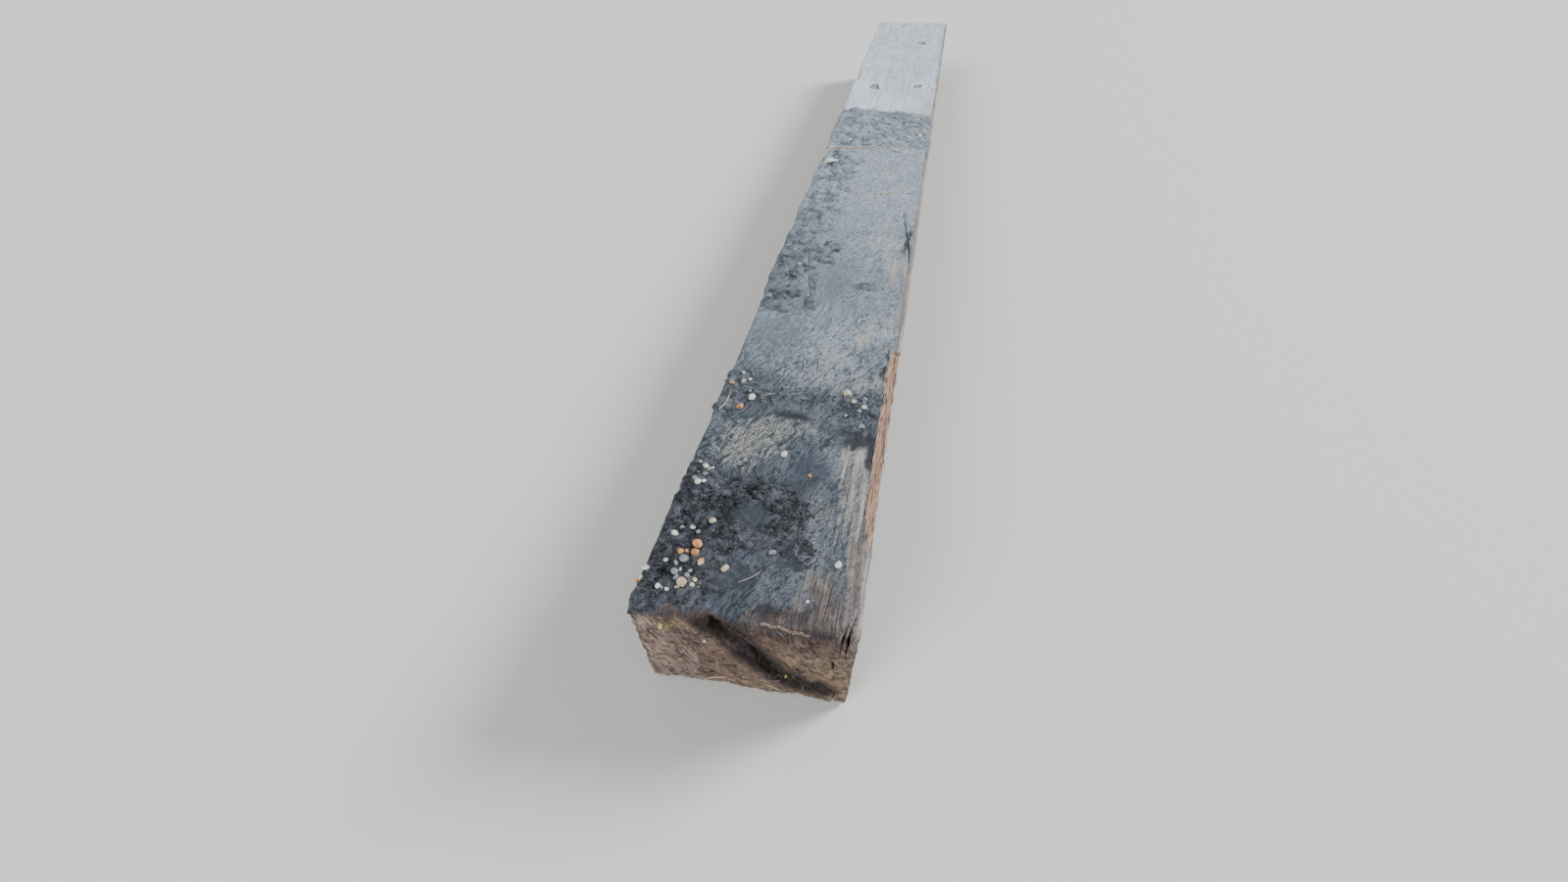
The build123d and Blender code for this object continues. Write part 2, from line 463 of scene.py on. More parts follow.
def relief(piece, depth, blob=None, group="", middle=0.5, kind="CLOUDS", direction="NORMAL", **look):
    """Presses a noise with blobs of so many millimetres into a piece, or sinks it evenly without one."""
    push = {"strength": depth * MM, "mid_level": middle, "vertex_group": group, "direction": direction}
    if not blob:
        apply(piece, "DISPLACE", **push)
        return
    texture = bpy.data.textures.new("relief", kind)
    for setting, value in look.items():
        setattr(texture, setting, value)
    texture.noise_scale = 1.0
    bpy.ops.object.empty_add(location=(0.013, 0.007, 0.003))
    guide = bpy.context.object
    guide.scale = [side * MM for side in blob]
    apply(piece, "DISPLACE", texture=texture, texture_coords="OBJECT", texture_coords_object=guide, **push)
    bpy.data.objects.remove(guide)
    bpy.data.textures.remove(texture)


print("relief tools ready")

# %% [markdown]
# ## The beam's surface
# The solid has the beam's section, its checks, its torn arris and its decayed channel, but between
# them its faces are perfectly flat, with very few corners to move. A copy of its mesh is merged and
# cleaned, and then cut into a net by many planes, finer where the eye comes close. The planes across
# the beam lean with its two skewed ends, so that the last cells aren't wedges. A voxel remesh would
# be less work, but it would need millions of cells to keep a check that is two millimetres wide.

# %% The net of cuts
# How long the cells are, in metres: near the eye, further along and at the far end.
NEAR_CELL, MIDDLE_CELL, FAR_CELL = 0.006, 0.012, 0.02
NEAR_STOP, MIDDLE_STOP = NEAR_MIDDLE + 0.62, NEAR_MIDDLE + 1.9
CELL_WIDTH, CELL_HEIGHT = 0.0075, 0.0125


def lean(place):
    """The normal of a plane across the beam, leaning as the nearer end does."""
    share = (place[1] - LOW.y) / LENGTH
    rise = NEAR_RISE + (FAR_RISE - NEAR_RISE) * share
    return (-rise, 1.0, 0.0)


def steps(start, stop, size):
    """Evenly spaced values between two ends, without the ends."""
    count = max(int(round((stop - start) / size)), 1)
    return [start + (stop - start) * number / count for number in range(1, count)]


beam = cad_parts["beam"]
hardwood = bpy.data.objects.new("hardwood_beam", beam.data.copy())
bpy.context.scene.collection.objects.link(hardwood)
hardwood.data.materials.clear()
edit(hardwood)
everything()
bpy.ops.mesh.remove_doubles(threshold=0.00001)
bpy.ops.mesh.dissolve_limited(angle_limit=math.radians(0.4))
lengths = steps(NEAR_MIDDLE, NEAR_STOP, NEAR_CELL)
lengths += steps(NEAR_STOP, MIDDLE_STOP, MIDDLE_CELL)
lengths += steps(MIDDLE_STOP, FAR_MIDDLE, FAR_CELL)
cut([(0.0, y, 0.0) for y in lengths], lean)
done()
print("cut across:", len(hardwood.data.polygons), "faces")

# %% Cuts along the beam
edit(hardwood)
pick(hardwood, lambda middle, normal: normal.z > -0.9)
bpy.ops.mesh.hide(unselected=True)
cut([(x, 0.0, 0.0) for x in steps(LOW.x, HIGH.x, CELL_WIDTH)], (1.0, 0.0, 0.0))
cut([(0.0, 0.0, z) for z in steps(0.0, HEIGHT, CELL_HEIGHT)], (0.0, 0.0, 1.0))
bpy.ops.mesh.reveal(select=False)
done()
print("cut along:", len(hardwood.data.polygons), "faces")

# %% Where the eye comes close
# How far the torn scar reaches along the right arris, in millimetres.
SCAR_START = 150.0
SCAR_END = 605.0
# Sunk knots on the clean far part: across, from the near end, half across, half along, turn in degrees.
KNOTS = (
    (-70, 2074, 17, 26, 0), (80, 2118, 15, 20, -20), (57, 2655, 17, 26, 15), (-51, 2706, 8, 14, 0),
    (-39, 2916, 9, 20, 0),
)


def oval_distance(across, along, oval):
    """0 in the middle of an oval and 1 on its edge."""
    turn = math.radians(oval[4]) if len(oval) > 4 else 0.0
    sideways, forwards = across - oval[0], along - oval[1]
    first = (sideways * math.cos(turn) + forwards * math.sin(turn)) / oval[2]
    second = (forwards * math.cos(turn) - sideways * math.sin(turn)) / oval[3]
    return math.hypot(first, second)


def nearest_oval(across, along, ovals):
    return min(oval_distance(across, along, oval) for oval in ovals)


def near_scar(middle):
    return middle.x > 0.128 and middle.z > 0.188 and SCAR_START - 10 < from_near(middle) < SCAR_END + 10


def near_view(middle, normal):
    top = normal.z > 0.3 and from_near(middle) < 300
    return top or behind_end(middle) < 0.024 or near_scar(middle)


def close_detail(middle, normal):
    near_knot = normal.z > 0.3 and nearest_oval(middle.x / MM, from_near(middle), KNOTS) < 2.6
    return near_scar(middle) or near_knot or (behind_end(middle) < 0.02 and normal.z > -0.9)


print("the scar is", SCAR_END - SCAR_START, "mm long, and there are", len(KNOTS), "knots")

# %% Finer cells
# Each round halves the cells of a zone that are larger than so many square millimetres.
ROUNDS = ((near_view, 18.0), (close_detail, 36.0), (close_detail, 8.0))

edit(hardwood)
for zone, coarse in ROUNDS:
    pick(hardwood, zone, larger_than=coarse)
    bpy.ops.mesh.hide(unselected=True)
    bpy.ops.mesh.select_face_by_sides(number=4, type="GREATER", extend=False)
    triangles()
    everything()
    bpy.ops.mesh.subdivide(number_cuts=1)
    bpy.ops.mesh.reveal(select=False)
everything()
triangles()
done()
print("finer near the eye:", len(hardwood.data.polygons), "triangles")

# %% [markdown]
# ## Where the wood is what
# The relief and the colours both depend on where a point is: on the sawn end, in the decayed channel,
# on the torn arris or deep in a check. Each of these is a rule of place, made once. It gives a vertex
# group for the modifiers and an attribute for the material.

# %% The decayed channel and the scar
# The channel's middle line on the near end: across and up, in millimetres.
DECAY_RUN = ((-45, 217), (-22, 200), (-6, 165), (14, 130), (29, 104), (49, 77), (76, 60), (104, 52))
# How far the scar reaches in from the arris, and how far down: place along the beam and reach, in
# millimetres.
SCAR_EDGE = ((150, 3), (178, 9), (212, 16), (338, 18), (463, 18), (555, 19), (605, 12))
SCAR_DROP = ((150, 5), (178, 14), (212, 24), (338, 28), (463, 25), (555, 23), (605, 14))


def along_line(value, line):
    """Reads a height off a line of (place, height) points."""
    for (start, low), (stop, high) in zip(line, line[1:]):
        if value <= stop:
            return low + (high - low) * min(max((value - start) / (stop - start), 0.0), 1.0)
    return line[-1][1]


def distance_to_run(across, up, run):
    """How far a place on the end is from a bent line, in millimetres."""
    place = Vector((across, up))
    nearest = 1000.0
    for start, stop in zip(run, run[1:]):
        start, stop = Vector(start), Vector(stop)
        way = stop - start
        share = min(max((place - start).dot(way) / way.length_squared, 0.0), 1.0)
        nearest = min(nearest, (place - start - way * share).length)
    return nearest


def decayed(point):
    """1 on the line of the decayed channel, falling to 0 at 50 mm from it."""
    if behind_end(point) > 0.04:
        return 0.0
    away = distance_to_run(point.x / MM, point.z / MM, DECAY_RUN)
    return 1.0 - (away + 1.6 * max(behind_end(point), 0.0) / MM) / 50.0


def torn(point):
    """1 on the torn arris."""
    place = from_near(point)
    if not SCAR_START < place < SCAR_END:
        return 0.0
    inside = (point.x - HIGH.x) / MM + along_line(place, SCAR_EDGE)
    below = (point.z - HEIGHT) / MM + along_line(place, SCAR_DROP)
    ends = min(ease(place, SCAR_START, SCAR_START + 20), 1.0 - ease(place, SCAR_END - 25, SCAR_END))
    return ease(min(inside, below), -1.5, 1.5) * ends


print("torn away at 400 mm:", along_line(400, SCAR_EDGE), "in,", along_line(400, SCAR_DROP), "down")


# %% Rules of place
def sawn_end(point):
    return 1.0 - ease(behind_end(point), 0.004, 0.022)


def buried(point):
    """How deep a point is under the beam's sawn faces, 1 at 12 mm."""
    far = FAR_MIDDLE + point.x * FAR_RISE - point.y
    depth = min(HEIGHT - point.z, point.x - LOW.x, HIGH.x - point.x, behind_end(point), far)
    return ease(depth, 0.003, 0.013)


def clear_of_floor(point):
    return ease(point.z, 0.0, 0.006)


def by_arris(point):
    """1 at the long top arrises."""
    by_side = 1.0 - ease(min(point.x - LOW.x, HIGH.x - point.x), 0.004, 0.014)
    by_top = 1.0 - ease(HEIGHT - point.z, 0.004, 0.014)
    return by_side * by_top * (1.0 - torn(point))


def knotted(point):
    """1 in the middle of a knot, falling to 0 at twice its size."""
    if point.z < HEIGHT - 0.02 or from_near(point) < 2000:
        return 0.0
    shake = noise.noise_vector(point / 0.018) * 8.0
    return 1.0 - nearest_oval(point.x / MM + shake.x, from_near(point) + shake.y, KNOTS) / 2.0


def mark(piece, name, rule):
    """Stores a rule of place on a piece, for its material."""
    attribute = piece.data.attributes.new(name, "FLOAT", "POINT")
    attribute.data.foreach_set("value", [min(max(rule(v.co), 0.0), 1.0) for v in piece.data.vertices])


print("rules of place ready")

# %% Mud in the old checks, and the first marks
# The stretch of the top where mud has filled the checks, and how far below the face it stays, in
# millimetres.
MUD_START, MUD_END = 470.0, 1400.0
MUD_HOLLOW, MUD_HOLLOW_BY_ARRIS = 0.35, 1.2

filled = 0
for vertex in hardwood.data.vertices:
    below = (HEIGHT - vertex.co.z) / MM
    muddy = MUD_START < from_near(vertex.co) < MUD_END and abs(vertex.co.x) < 0.143
    if muddy and 0.5 < below < 60 and torn(vertex.co) == 0.0:
        hollow = MUD_HOLLOW_BY_ARRIS if vertex.co.x > 0.1 else MUD_HOLLOW
        vertex.co.z = HEIGHT - (hollow + 0.3 * noise.noise(vertex.co / 0.01)) * MM
        filled += 1

for name, rule in (("knot", knotted), ("decay", decayed), ("tear", torn), ("deep", buried)):
    mark(hardwood, name, rule)
print("points of old checks raised by mud:", filled)

# %% [markdown]
# ## Pressing age into the wood
# Rain and sun leave the faces slightly wavy and ribbed along the grain. The sawn end takes water
# fastest, so it is pitted and crumbly, and its lower edge is ragged. The torn arris is a bundle of
# fibres: the noise there is drawn out along the grain and only a couple of millimetres across. Each
# relief is masked by its rule of place, so one doesn't wash over another.

# %% Relief on the beam
ZONES = {
    "faces": lambda p: clear_of_floor(p) * (1.0 - buried(p)),
    "end": lambda p: sawn_end(p) * clear_of_floor(p),
    "decay_relief": lambda p: ease(decayed(p), 0.42, 0.72),
    "tear_relief": torn,
    "foot": lambda p: (1.0 - ease(p.z, 0.004, 0.028)) * (1.0 - ease(behind_end(p), 0.004, 0.02)),
    "arris": by_arris,
    "knots": lambda p: ease(knotted(p), 0.4, 0.75),
}

for name, rule in ZONES.items():
    weigh(hardwood, name, rule)
relief(hardwood, 2.6, (160, 420, 120), "faces", noise_depth=1)
relief(hardwood, 1.0, (14, 190, 14), "faces", noise_depth=2)
relief(hardwood, 5.0, (26, 60, 22), "end", noise_depth=2)
relief(hardwood, 2.6, (5, 20, 8), "end", noise_depth=2)
relief(hardwood, 9.0, (7, 30, 13), "decay_relief", noise_depth=3)
relief(hardwood, 5.0, (4.5, 90, 4.5), "tear_relief", noise_depth=3)
relief(hardwood, -9.0, (26, 70, 26), "arris", middle=0.62, noise_depth=2)
relief(hardwood, -1.2, group="knots", middle=0.0)
relief(hardwood, 1.6, (5, 9, 5), "knots", noise_depth=2)
relief(hardwood, 8.0, (60, 50, 90), "foot", middle=0.4, noise_depth=2, direction="Y")
relief(hardwood, 4.0, (5, 12, 11), "foot", middle=0.45, noise_depth=3, direction="Y")
only(hardwood)
smooth(42)
print("beam relief pressed, z from", round(min(v.co.z for v in hardwood.data.vertices), 4))

# %% [markdown]
# ## Weathered hardwood
# A tree's rings are cylinders round its pith, and every sawn face shows a slice of them. So the grain
# is drawn in three dimensions round an axis that lies above and to the right of the beam, where the
# arcs on its sawn end say that the pith was. The same recipe then gives arcs on the ends and long
# lines on the faces. Over it come the layers that years outdoors have put on: silver weathering,
# brown decay, mud on the top, and the places where feet and dragging have worn the mud off again.

# %% Colours of the wood
BROWN = tone(120, 107, 100)
DARK_BROWN = tone(58, 49, 46)
REDDISH = tone(116, 96, 87)
OCHRE = tone(152, 130, 106)
END_TAN = tone(164, 147, 137)
SILVER = tone(146, 142, 138)
PALE_SILVER = tone(190, 201, 215)
BLEACHED = tone(212, 221, 232)
STRAW = tone(188, 176, 140)
DECAY = tone(54, 48, 47)
DECAY_EDGE = tone(74, 64, 60)
TORN_WOOD = tone(176, 144, 122)
TORN_DARK = tone(98, 72, 60)
TORN_PALE = tone(222, 206, 192)
print("brown as light:", [round(part, 3) for part in BROWN])

# %% Colours of the mud
MUD_NEAR = tone(80, 86, 96)
MUD_MIDDLE = tone(77, 85, 94)
MUD_DRY = tone(116, 127, 138)
MUD_FAR = tone(142, 153, 164)
MUD_DARK = tone(62, 67, 76)
MUD_BLACK = tone(46, 50, 57)
# Smooth wet clay in the hollows; its blue is partly a painted reflection of the sky.
MUD_BLUE = tone(60, 66, 77)
SCUFF = tone(176, 180, 184)
WORN_TAN = tone(156, 152, 148)
WORN_OLIVE = tone(163, 161, 151)
RUBBED = tone(172, 177, 181)
# Dust scatters light so well that a muddy surface has almost no shine.
DULL = 0.1
print("near mud as light:", [round(part, 3) for part in MUD_NEAR])

# %% Where the mud is thick, smooth or worn through
# Ovals on the top: across, from the near end, half across, half along, turn in degrees.
TOP_MARKS = {
    "worn": (
        (112, 250, 24, 110, 2), (98, 320, 16, 50, 0), (128, 165, 18, 80, 3), (112, 508, 22, 28, 0),
        (118, 878, 28, 34, 8), (136, 804, 16, 30, 0), (146, 790, 8, 320, 0), (92, 640, 16, 44, -20),
    ),
    "swirled": (
        (-10, 500, 60, 34, 0), (62, 490, 40, 44, 30), (20, 566, 50, 50, 20), (60, 630, 40, 40, 0),
        (100, 690, 40, 50, 0), (80, 1000, 50, 90, 0),
    ),
    "olive": ((-82, 300, 30, 42, 8), (-56, 326, 36, 36, 0), (-28, 352, 46, 26, 20)),
    "bare": (
        (104, 22, 56, 36, 6), (76, 2, 80, 26, 3), (138, 90, 18, 90, 0), (-82, 0, 34, 13, 3),
        (92, 74, 20, 24, 20),
    ),
    "smears": (
        (70, 54, 26, 9, 6), (84, 104, 30, 26, 0), (124, 96, 9, 60, 4), (132, 44, 7, 50, 0),
        (60, 92, 24, 24, 30), (141, 104, 8, 66, 0),
    ),
    "damp": (
        (-90, 120, 90, 140, 0), (0, 205, 90, 46, -12), (10, 140, 70, 60, 0), (-20, 40, 90, 34, 0),
        (-110, 440, 60, 40, 0), (90, 430, 60, 34, 10), (0, 432, 80, 16, 0),
    ),
    # Dark stains; the slender oval at 129, 545 is a painted shadow in the gap left of the scar's far end.
    "stains_and_shadow": (
        (108, 354, 38, 15, 14), (32, 30, 20, 11, 0), (128, 330, 8, 50, 0), (-10, 385, 34, 10, 0),
        (94, 374, 30, 18, 30), (129, 545, 5, 62, -5), (54, 800, 24, 12, 10), (-75, 1975, 66, 3, 2),
        (131, 1010, 6, 70, -6),
    ),
    "hollows": (
        (-33, 168, 34, 26, 0), (-70, 728, 20, 44, 0), (-95, 600, 60, 44, 0), (-10, 790, 30, 60, 0),
        (-110, 1050, 40, 60, 0), (36, 262, 26, 40, 0),
    ),
    "far_pale": (
        (-70, 2078, 40, 80, 0), (-76, 2709, 14, 24, 0), (-120, 2090, 40, 210, 0),
        (-20, 1930, 110, 80, 0), (80, 2110, 24, 40, 0),
    ),
}
# Ovals on the near end: across, up, half across, half up.
END_MARKS = {
    "end_grey": ((-122, 70, 24, 80), (-84, 60, 10, 60), (-136, 190, 14, 24)),
    "end_red": ((62, 196, 66, 34), (-60, 110, 44, 70), (-70, 176, 50, 20), (140, 22, 12, 30)),
    "end_ochre": (
        (116, 96, 44, 66), (134, 30, 20, 36), (62, 120, 24, 22), (-30, 18, 120, 26), (-96, 200, 54, 12),
        (-130, 60, 20, 70),
    ),
    "end_moss": ((8, 54, 26, 24), (40, 22, 56, 16), (-110, 206, 40, 12), (20, 86, 16, 14)),
    "end_dark": (
        (62, 208, 76, 11), (-8, 196, 40, 22), (98, 178, 26, 18), (66, 106, 30, 24), (-40, 216, 60, 6),
        (112, 30, 16, 20),
    ),
    "ring_eye": ((-65, 52, 13, 11),),
}


def in_ovals(ovals, on_top):
    """A rule of place: 1 in the middle of an oval, a half on its edge and 0 at twice its size."""

    def rule(point):
        if (point.z < HEIGHT - 0.03) if on_top else (behind_end(point) > 0.03):
            return 0.0
        across, along = point.x / MM, from_near(point) if on_top else point.z / MM
        shake = noise.noise_vector(Vector((across, along, 0.0)) / 26.0) * 11.0
        return 1.0 - nearest_oval(across + shake.x, along + shake.y, ovals) / 2.0

    return rule


for on_top, marks in ((True, TOP_MARKS), (False, END_MARKS)):
    for name, ovals in marks.items():
        mark(hardwood, name, in_ovals(ovals, on_top))
print("marks on the beam:", len(hardwood.data.attributes))

# %% Grain round the pith
# Where the pith was, as x and z in metres, and how wide a year's ring is.
PITH = (0.214, 0.285)
RING = 0.0046


def crack_lines(place, wide, thin):
    """Thin lines where a noise passes through its middle value: 1 on a line."""
    return fade(unsigned(raw_noise(place, 1.5, 0.5) - 0.5), wide, thin)


def grow(wood):
    """Rings, strands along the rings, fibres, streaks and cracks, in the wood's own round coordinates."""
    place = wood.place
    wood.axes = wood.node("SeparateXYZ", {}, {0: place})
    forward = wood.axes.out("Y")
    sideways = wood.axes.out("X") - PITH[0]
    upward = wood.axes.out("Z") - PITH[1]
    bend = cloud(place, 0.11, 3.0, 0.5, 5.0)
    flat = wood.node("CombineXYZ", {}, {0: sideways, 1: upward})
    radius = wood.node("VectorMath", {"operation": "LENGTH"}, {0: flat}, "Value") + bend * 0.03
    angle = wood.node("Math", {"operation": "ARCTAN2"}, {0: upward, 1: sideways})

    def round_place(around, outward, along):
        """A place in the log, with so many blobs of noise around, outward and along."""
        return wood.node("CombineXYZ", {}, {0: angle * around, 1: radius * outward, 2: forward * along})

    year = wood.node("Math", {"operation": "FRACT"}, {0: radius / RING})
    wood.rings = fade(year, 0.3, 0.86) * fade(year, 1.0, 0.9)
    wood.strands = raw_noise(round_place(11.0, 420.0, 14.0), 4.0, 0.65)
    wood.fibres = cloud(place, 0.0022, 3.0, 0.6, 28.0)
    wood.streaks = cloud(place, 0.011, 3.0, 0.6, 24.0)
    shakes = crack_lines(round_place(6.0, 46.0, 0.8), 0.012, 0.003) * fade(bend, 0.46, 0.6)
    rays = crack_lines(round_place(22.0, 9.0, 0.7), 0.010, 0.002) * fade(bend, 0.56, 0.46) * 0.8
    wood.cracks = most(shakes, rays) * fade(wood.streaks, 0.42, 0.52)
    wood.mottle = cloud(place, 0.0075, 5.0, 0.68, 1.5)


print("rings of", RING / MM, "mm round a pith at", PITH)


# %% The bare wood
def bare_wood(wood):
    """The colour of the wood under the mud."""
    place, mottle, strands = wood.place, wood.mottle, wood.strands
    blotches = cloud(place, 0.05, 4.0, 0.6, 2.2)
    grit = cloud(place, 0.0026, 4.0, 0.75, 2.5)
    dirt = cloud(place, 0.019, 5.0, 0.7, 2.0)
    colour = coats(
        BROWN,
        (REDDISH, fade(blotches, 0.44, 0.6)),
        (REDDISH, ragged(wood.mark("end_red"), (mottle, 1.0)) * 0.7),
        (OCHRE, fade(wood.streaks, 0.5, 0.78) * 0.5),
        (OCHRE, ragged(wood.mark("end_ochre"), (mottle, 1.2)) * 0.66),
        (END_TAN, ragged(wood.mark("end_grey"), (strands, 1.6), (mottle, 0.8)) * 0.7),
        (DARK_BROWN, fade(blotches * 0.6 + mottle * 0.6, 0.62, 0.46) * 0.3),
        (DARK_BROWN, ragged(wood.mark("end_dark"), (mottle, 0.9), (strands, 0.7)) * 0.42),
    )
    light = fade(grit * 0.45 + strands * 1.3 + mottle * 0.5 + dirt * 1.0, 1.33, 1.93, 0.3, 1.8)
    eye = wood.mark("ring_eye")
    flecks = ragged(wood.mark("end_moss"), (mottle, 1.0)) * 0.85 + wood.mark("end_ochre") * 0.55
    return coats(
        shade(colour, light),
        (DARK_BROWN, fade(eye, 0.3, 0.5) * fade(eye, 0.74, 0.6) * 0.7),
        (STRAW, fade(grit * 0.7 + mottle * 0.3, 0.56, 0.64) * flecks),
        (DARK_BROWN, wood.rings * 0.3),
        (DARK_BROWN, fade(wood.fibres, 0.46, 0.3) * 0.6),
        (DECAY, wood.cracks * 0.8),
    )


print("bare wood ready")


# %% The mud film
def mud_film(wood):
    """The colour of the dried mud on the top, with the noises that it is made of."""
    place = wood.place
    wood.away = (wood.axes.out("Y") - NEAR_MIDDLE) / MM
    wood.swirl = cloud(place, 0.045, 4.0, 0.55, 1.8)
    wood.dabs = cloud(place, 0.0085, 4.0, 0.62, 1.6)
    wood.speck = cloud(place, 0.0026, 3.0, 0.7, 1.4)
    broken = wander(place, 0.022, 0.012)
    turned = wood.node("Mapping", {}, {"Vector": broken, "Rotation": (0.0, 0.0, math.radians(25))})
    wood.drag = cloud(turned, 0.0036, 4.0, 0.66, 12.0)
    wood.hollows = fade(wood.mark("hollows"), 0.2, 0.75)
    away, swirl, dabs, speck, drag = wood.away, wood.swirl, wood.dabs, wood.speck, wood.drag
    colour = coats(
        MUD_NEAR,
        (MUD_MIDDLE, fade(away, 190, 300)),
        (MUD_DRY, fade(away, 400, 640)),
        # Paler further along the beam: partly drier mud, and partly painted haze glare.
        (MUD_FAR, fade(away, 800, 1300)),
        (RUBBED, ragged(wood.mark("swirled"), (swirl, 0.6), (drag, 2.0), (speck, 0.8)) * 0.2),
        # Bluish in the smooth hollows: wet clay, with a painted reflection of the sky.
        (MUD_BLUE, wood.hollows * fade(away, 240, 640, 0.6, 0.2)),
        (MUD_BLACK, ragged(wood.mark("damp"), (swirl, 0.9), (dabs, 0.9)) * 0.5),
    )
    lively = fade(away, 420, 900, 1.1, 0.75) * (1.0 - wood.hollows * 0.4)
    light = fade(speck * 0.4 + dabs * 0.45 + drag * 1.1 + swirl * 0.1, 0.84, 1.21, -0.5, 0.55)
    scuffed = fade(speck * 0.45 + drag * 0.55, 0.59, 0.67) * (1.0 - wood.hollows)
    scratched = fade(unsigned(drag - 0.5), 0.03, 0.008) * fade(swirl, 0.44, 0.6)
    to_the_right = fade(wood.axes.out("X"), -0.03, 0.05, 0.12, 0.66)
    return coats(
        shade(colour, 1.0 + light * lively),
        (SCUFF, scuffed * fade(away, 60, 420, 0.4, 0.5)),
        (SCUFF, scratched * to_the_right * (1.0 - wood.hollows * 0.7)),
    )


print("mud film ready")


# %% The clean far part, and the grey sides
def far_wood(wood):
    """The silver wood of the far part, with its knots."""
    streaks, fibres, dabs, swirl = wood.streaks, wood.fibres, wood.dabs, wood.swirl
    knot = wood.mark("knot") + (wood.mottle - 0.5) * 0.7
    light = fade(streaks * 0.6 + fibres * 0.7 + dabs * 0.3 + swirl * 0.4, 0.82, 1.18, 0.72, 1.16)
    ring = fade(knot, 0.34, 0.5) * fade(knot, 0.9, 0.66)
    return coats(
        shade(wood.colour(PALE_SILVER), light),
        (BROWN, fade(streaks, 0.56, 0.72) * 0.16),
        (BLEACHED, fade(wood.mark("far_pale") + (swirl - 0.5) * 0.6, 0.3, 0.75) * 0.6),
        (BLEACHED, fade(knot, 0.05, 0.4) * 0.7),
        (DARK_BROWN, ring * fade(dabs, 0.36, 0.54, 0.35, 1.0) * 0.8),
        (BROWN, fade(knot, 0.56, 0.8) * 0.55),
        (DARK_BROWN, wood.cracks * fade(swirl, 0.4, 0.6) * 0.35),
    )


def weather_sides(wood, colour):
    """Greys the sides, which no mud covers."""
    streaks, fibres = wood.streaks, wood.fibres
    weather = (1.0 - wood.top) * fade(wood.away, 10, 60)
    light = fade(streaks * 0.5 + fibres * 0.7 + wood.dabs * 0.2, 0.54, 0.86, 0.4, 1.35)
    grey = shade(wood.colour(SILVER), light)
    return coats(
        colour,
        (grey, weather * fade(wood.swirl * 0.7 + streaks * 0.3, 0.4, 0.56, 0.45, 0.85)),
        (DECAY, wood.cracks * weather * 0.75),
    )


print("clean wood ready")


# %% Mud on the wood, and where it has worn off
def muddy(wood, colour, mud):
    """Lays the mud film on the top, thinner on worn places, and splashes on the sides."""
    streaks, fibres, dabs, swirl = wood.streaks, wood.fibres, wood.dabs, wood.swirl
    speck, drag, top, film = wood.speck, wood.drag, wood.top, wood.film
    worn = ragged(wood.mark("worn"), (streaks, 1.4), (dabs, 0.9), (swirl, 0.8))
    olive = ragged(wood.mark("olive"), (dabs, 1.2), (drag, 1.4))
    rub = fade(fibres * 0.5 + streaks * 0.5 + speck * 0.4, 0.54, 0.84, 0.4, 1.5)
    tan = shade(wood.colour(WORN_TAN), rub)
    yellowish = shade(wood.colour(WORN_OLIVE), rub)
    mud = coats(
        mud,
        (tan, worn * fade(streaks * 0.7 + drag * 0.3, 0.42, 0.6, 0.15, 0.75)),
        (yellowish, olive * fade(drag * 0.6 + speck * 0.4, 0.42, 0.6, 0.05, 0.68)),
        # Darkens the stains, and paints the shadow in the gap beside the scar.
        (MUD_BLACK, ragged(wood.mark("stains_and_shadow"), (dabs, 1.0)) * 0.92),
    )
    wood.bare = ragged(wood.mark("bare"), (swirl, 1.2), (dabs, 0.7), (speck, 0.5))
    height = wood.axes.out("Z")
    splash = fade(height + (swirl - 0.5) * 0.12, 0.07, 0.0) * (1.0 - top)
    splash = splash * fade(wood.away, 0, 40, 0.35, 1.0)
    run = fade(height + (streaks - 0.5) * 0.05, HEIGHT - 0.034, HEIGHT - 0.006)
    drips = run * fade(wood.axes.out("X"), -0.13, -0.145)
    on_side = most(splash * fade(speck, 0.3, 0.6), drips * (1.0 - top) * (1.0 - wood.clean))
    return coats(
        colour,
        (shade(colour, 0.68), film),
        (tan, ragged(wood.mark("smears"), (dabs, 1.1), (fibres, 0.8)) * top * 0.5),
        (mud, film * (1.0 - wood.bare * 0.76)),
        # Pale tan on the rounded right arris: worn wood, and a painted highlight.
        (tan, wood.arris * fade(wood.up, 0.1, 0.5) * 0.5),
        (MUD_DARK, on_side * 0.75),
    )


print("mud layers ready")


# %% Decay and torn fibres
def broken_open(wood, colour):
    """Darkens the decayed channel and the deep checks, and bares fresh fibres on the scar."""
    wood.tear = wood.mark("tear")
    wood.threads = cloud(wood.place, 0.0016, 3.0, 0.6, 45.0)
    eaten = wood.mark("decay")
    for shake, weight in ((wood.mottle, 0.5), (wood.strands, 0.35), (wood.swirl, 0.4)):
        eaten = eaten + (shake - 0.5) * weight
    fresh = coat(TORN_WOOD, TORN_DARK, fade(wood.threads, 0.52, 0.36))
    fresh = coat(fresh, TORN_PALE, fade(wood.threads, 0.54, 0.68) * 0.8)
    return coats(
        colour,
        (DECAY_EDGE, fade(eaten, 0.28, 0.5) * 0.8),
        (DECAY, fade(eaten, 0.5, 0.64) * 0.92),
        (fresh, wood.tear),
        # Darker the deeper a point lies under the sawn faces: in the checks, the channel and the scar.
        (DECAY, wood.mark("deep") * (1.0 - wood.tear * 0.7) * 0.75),
    )


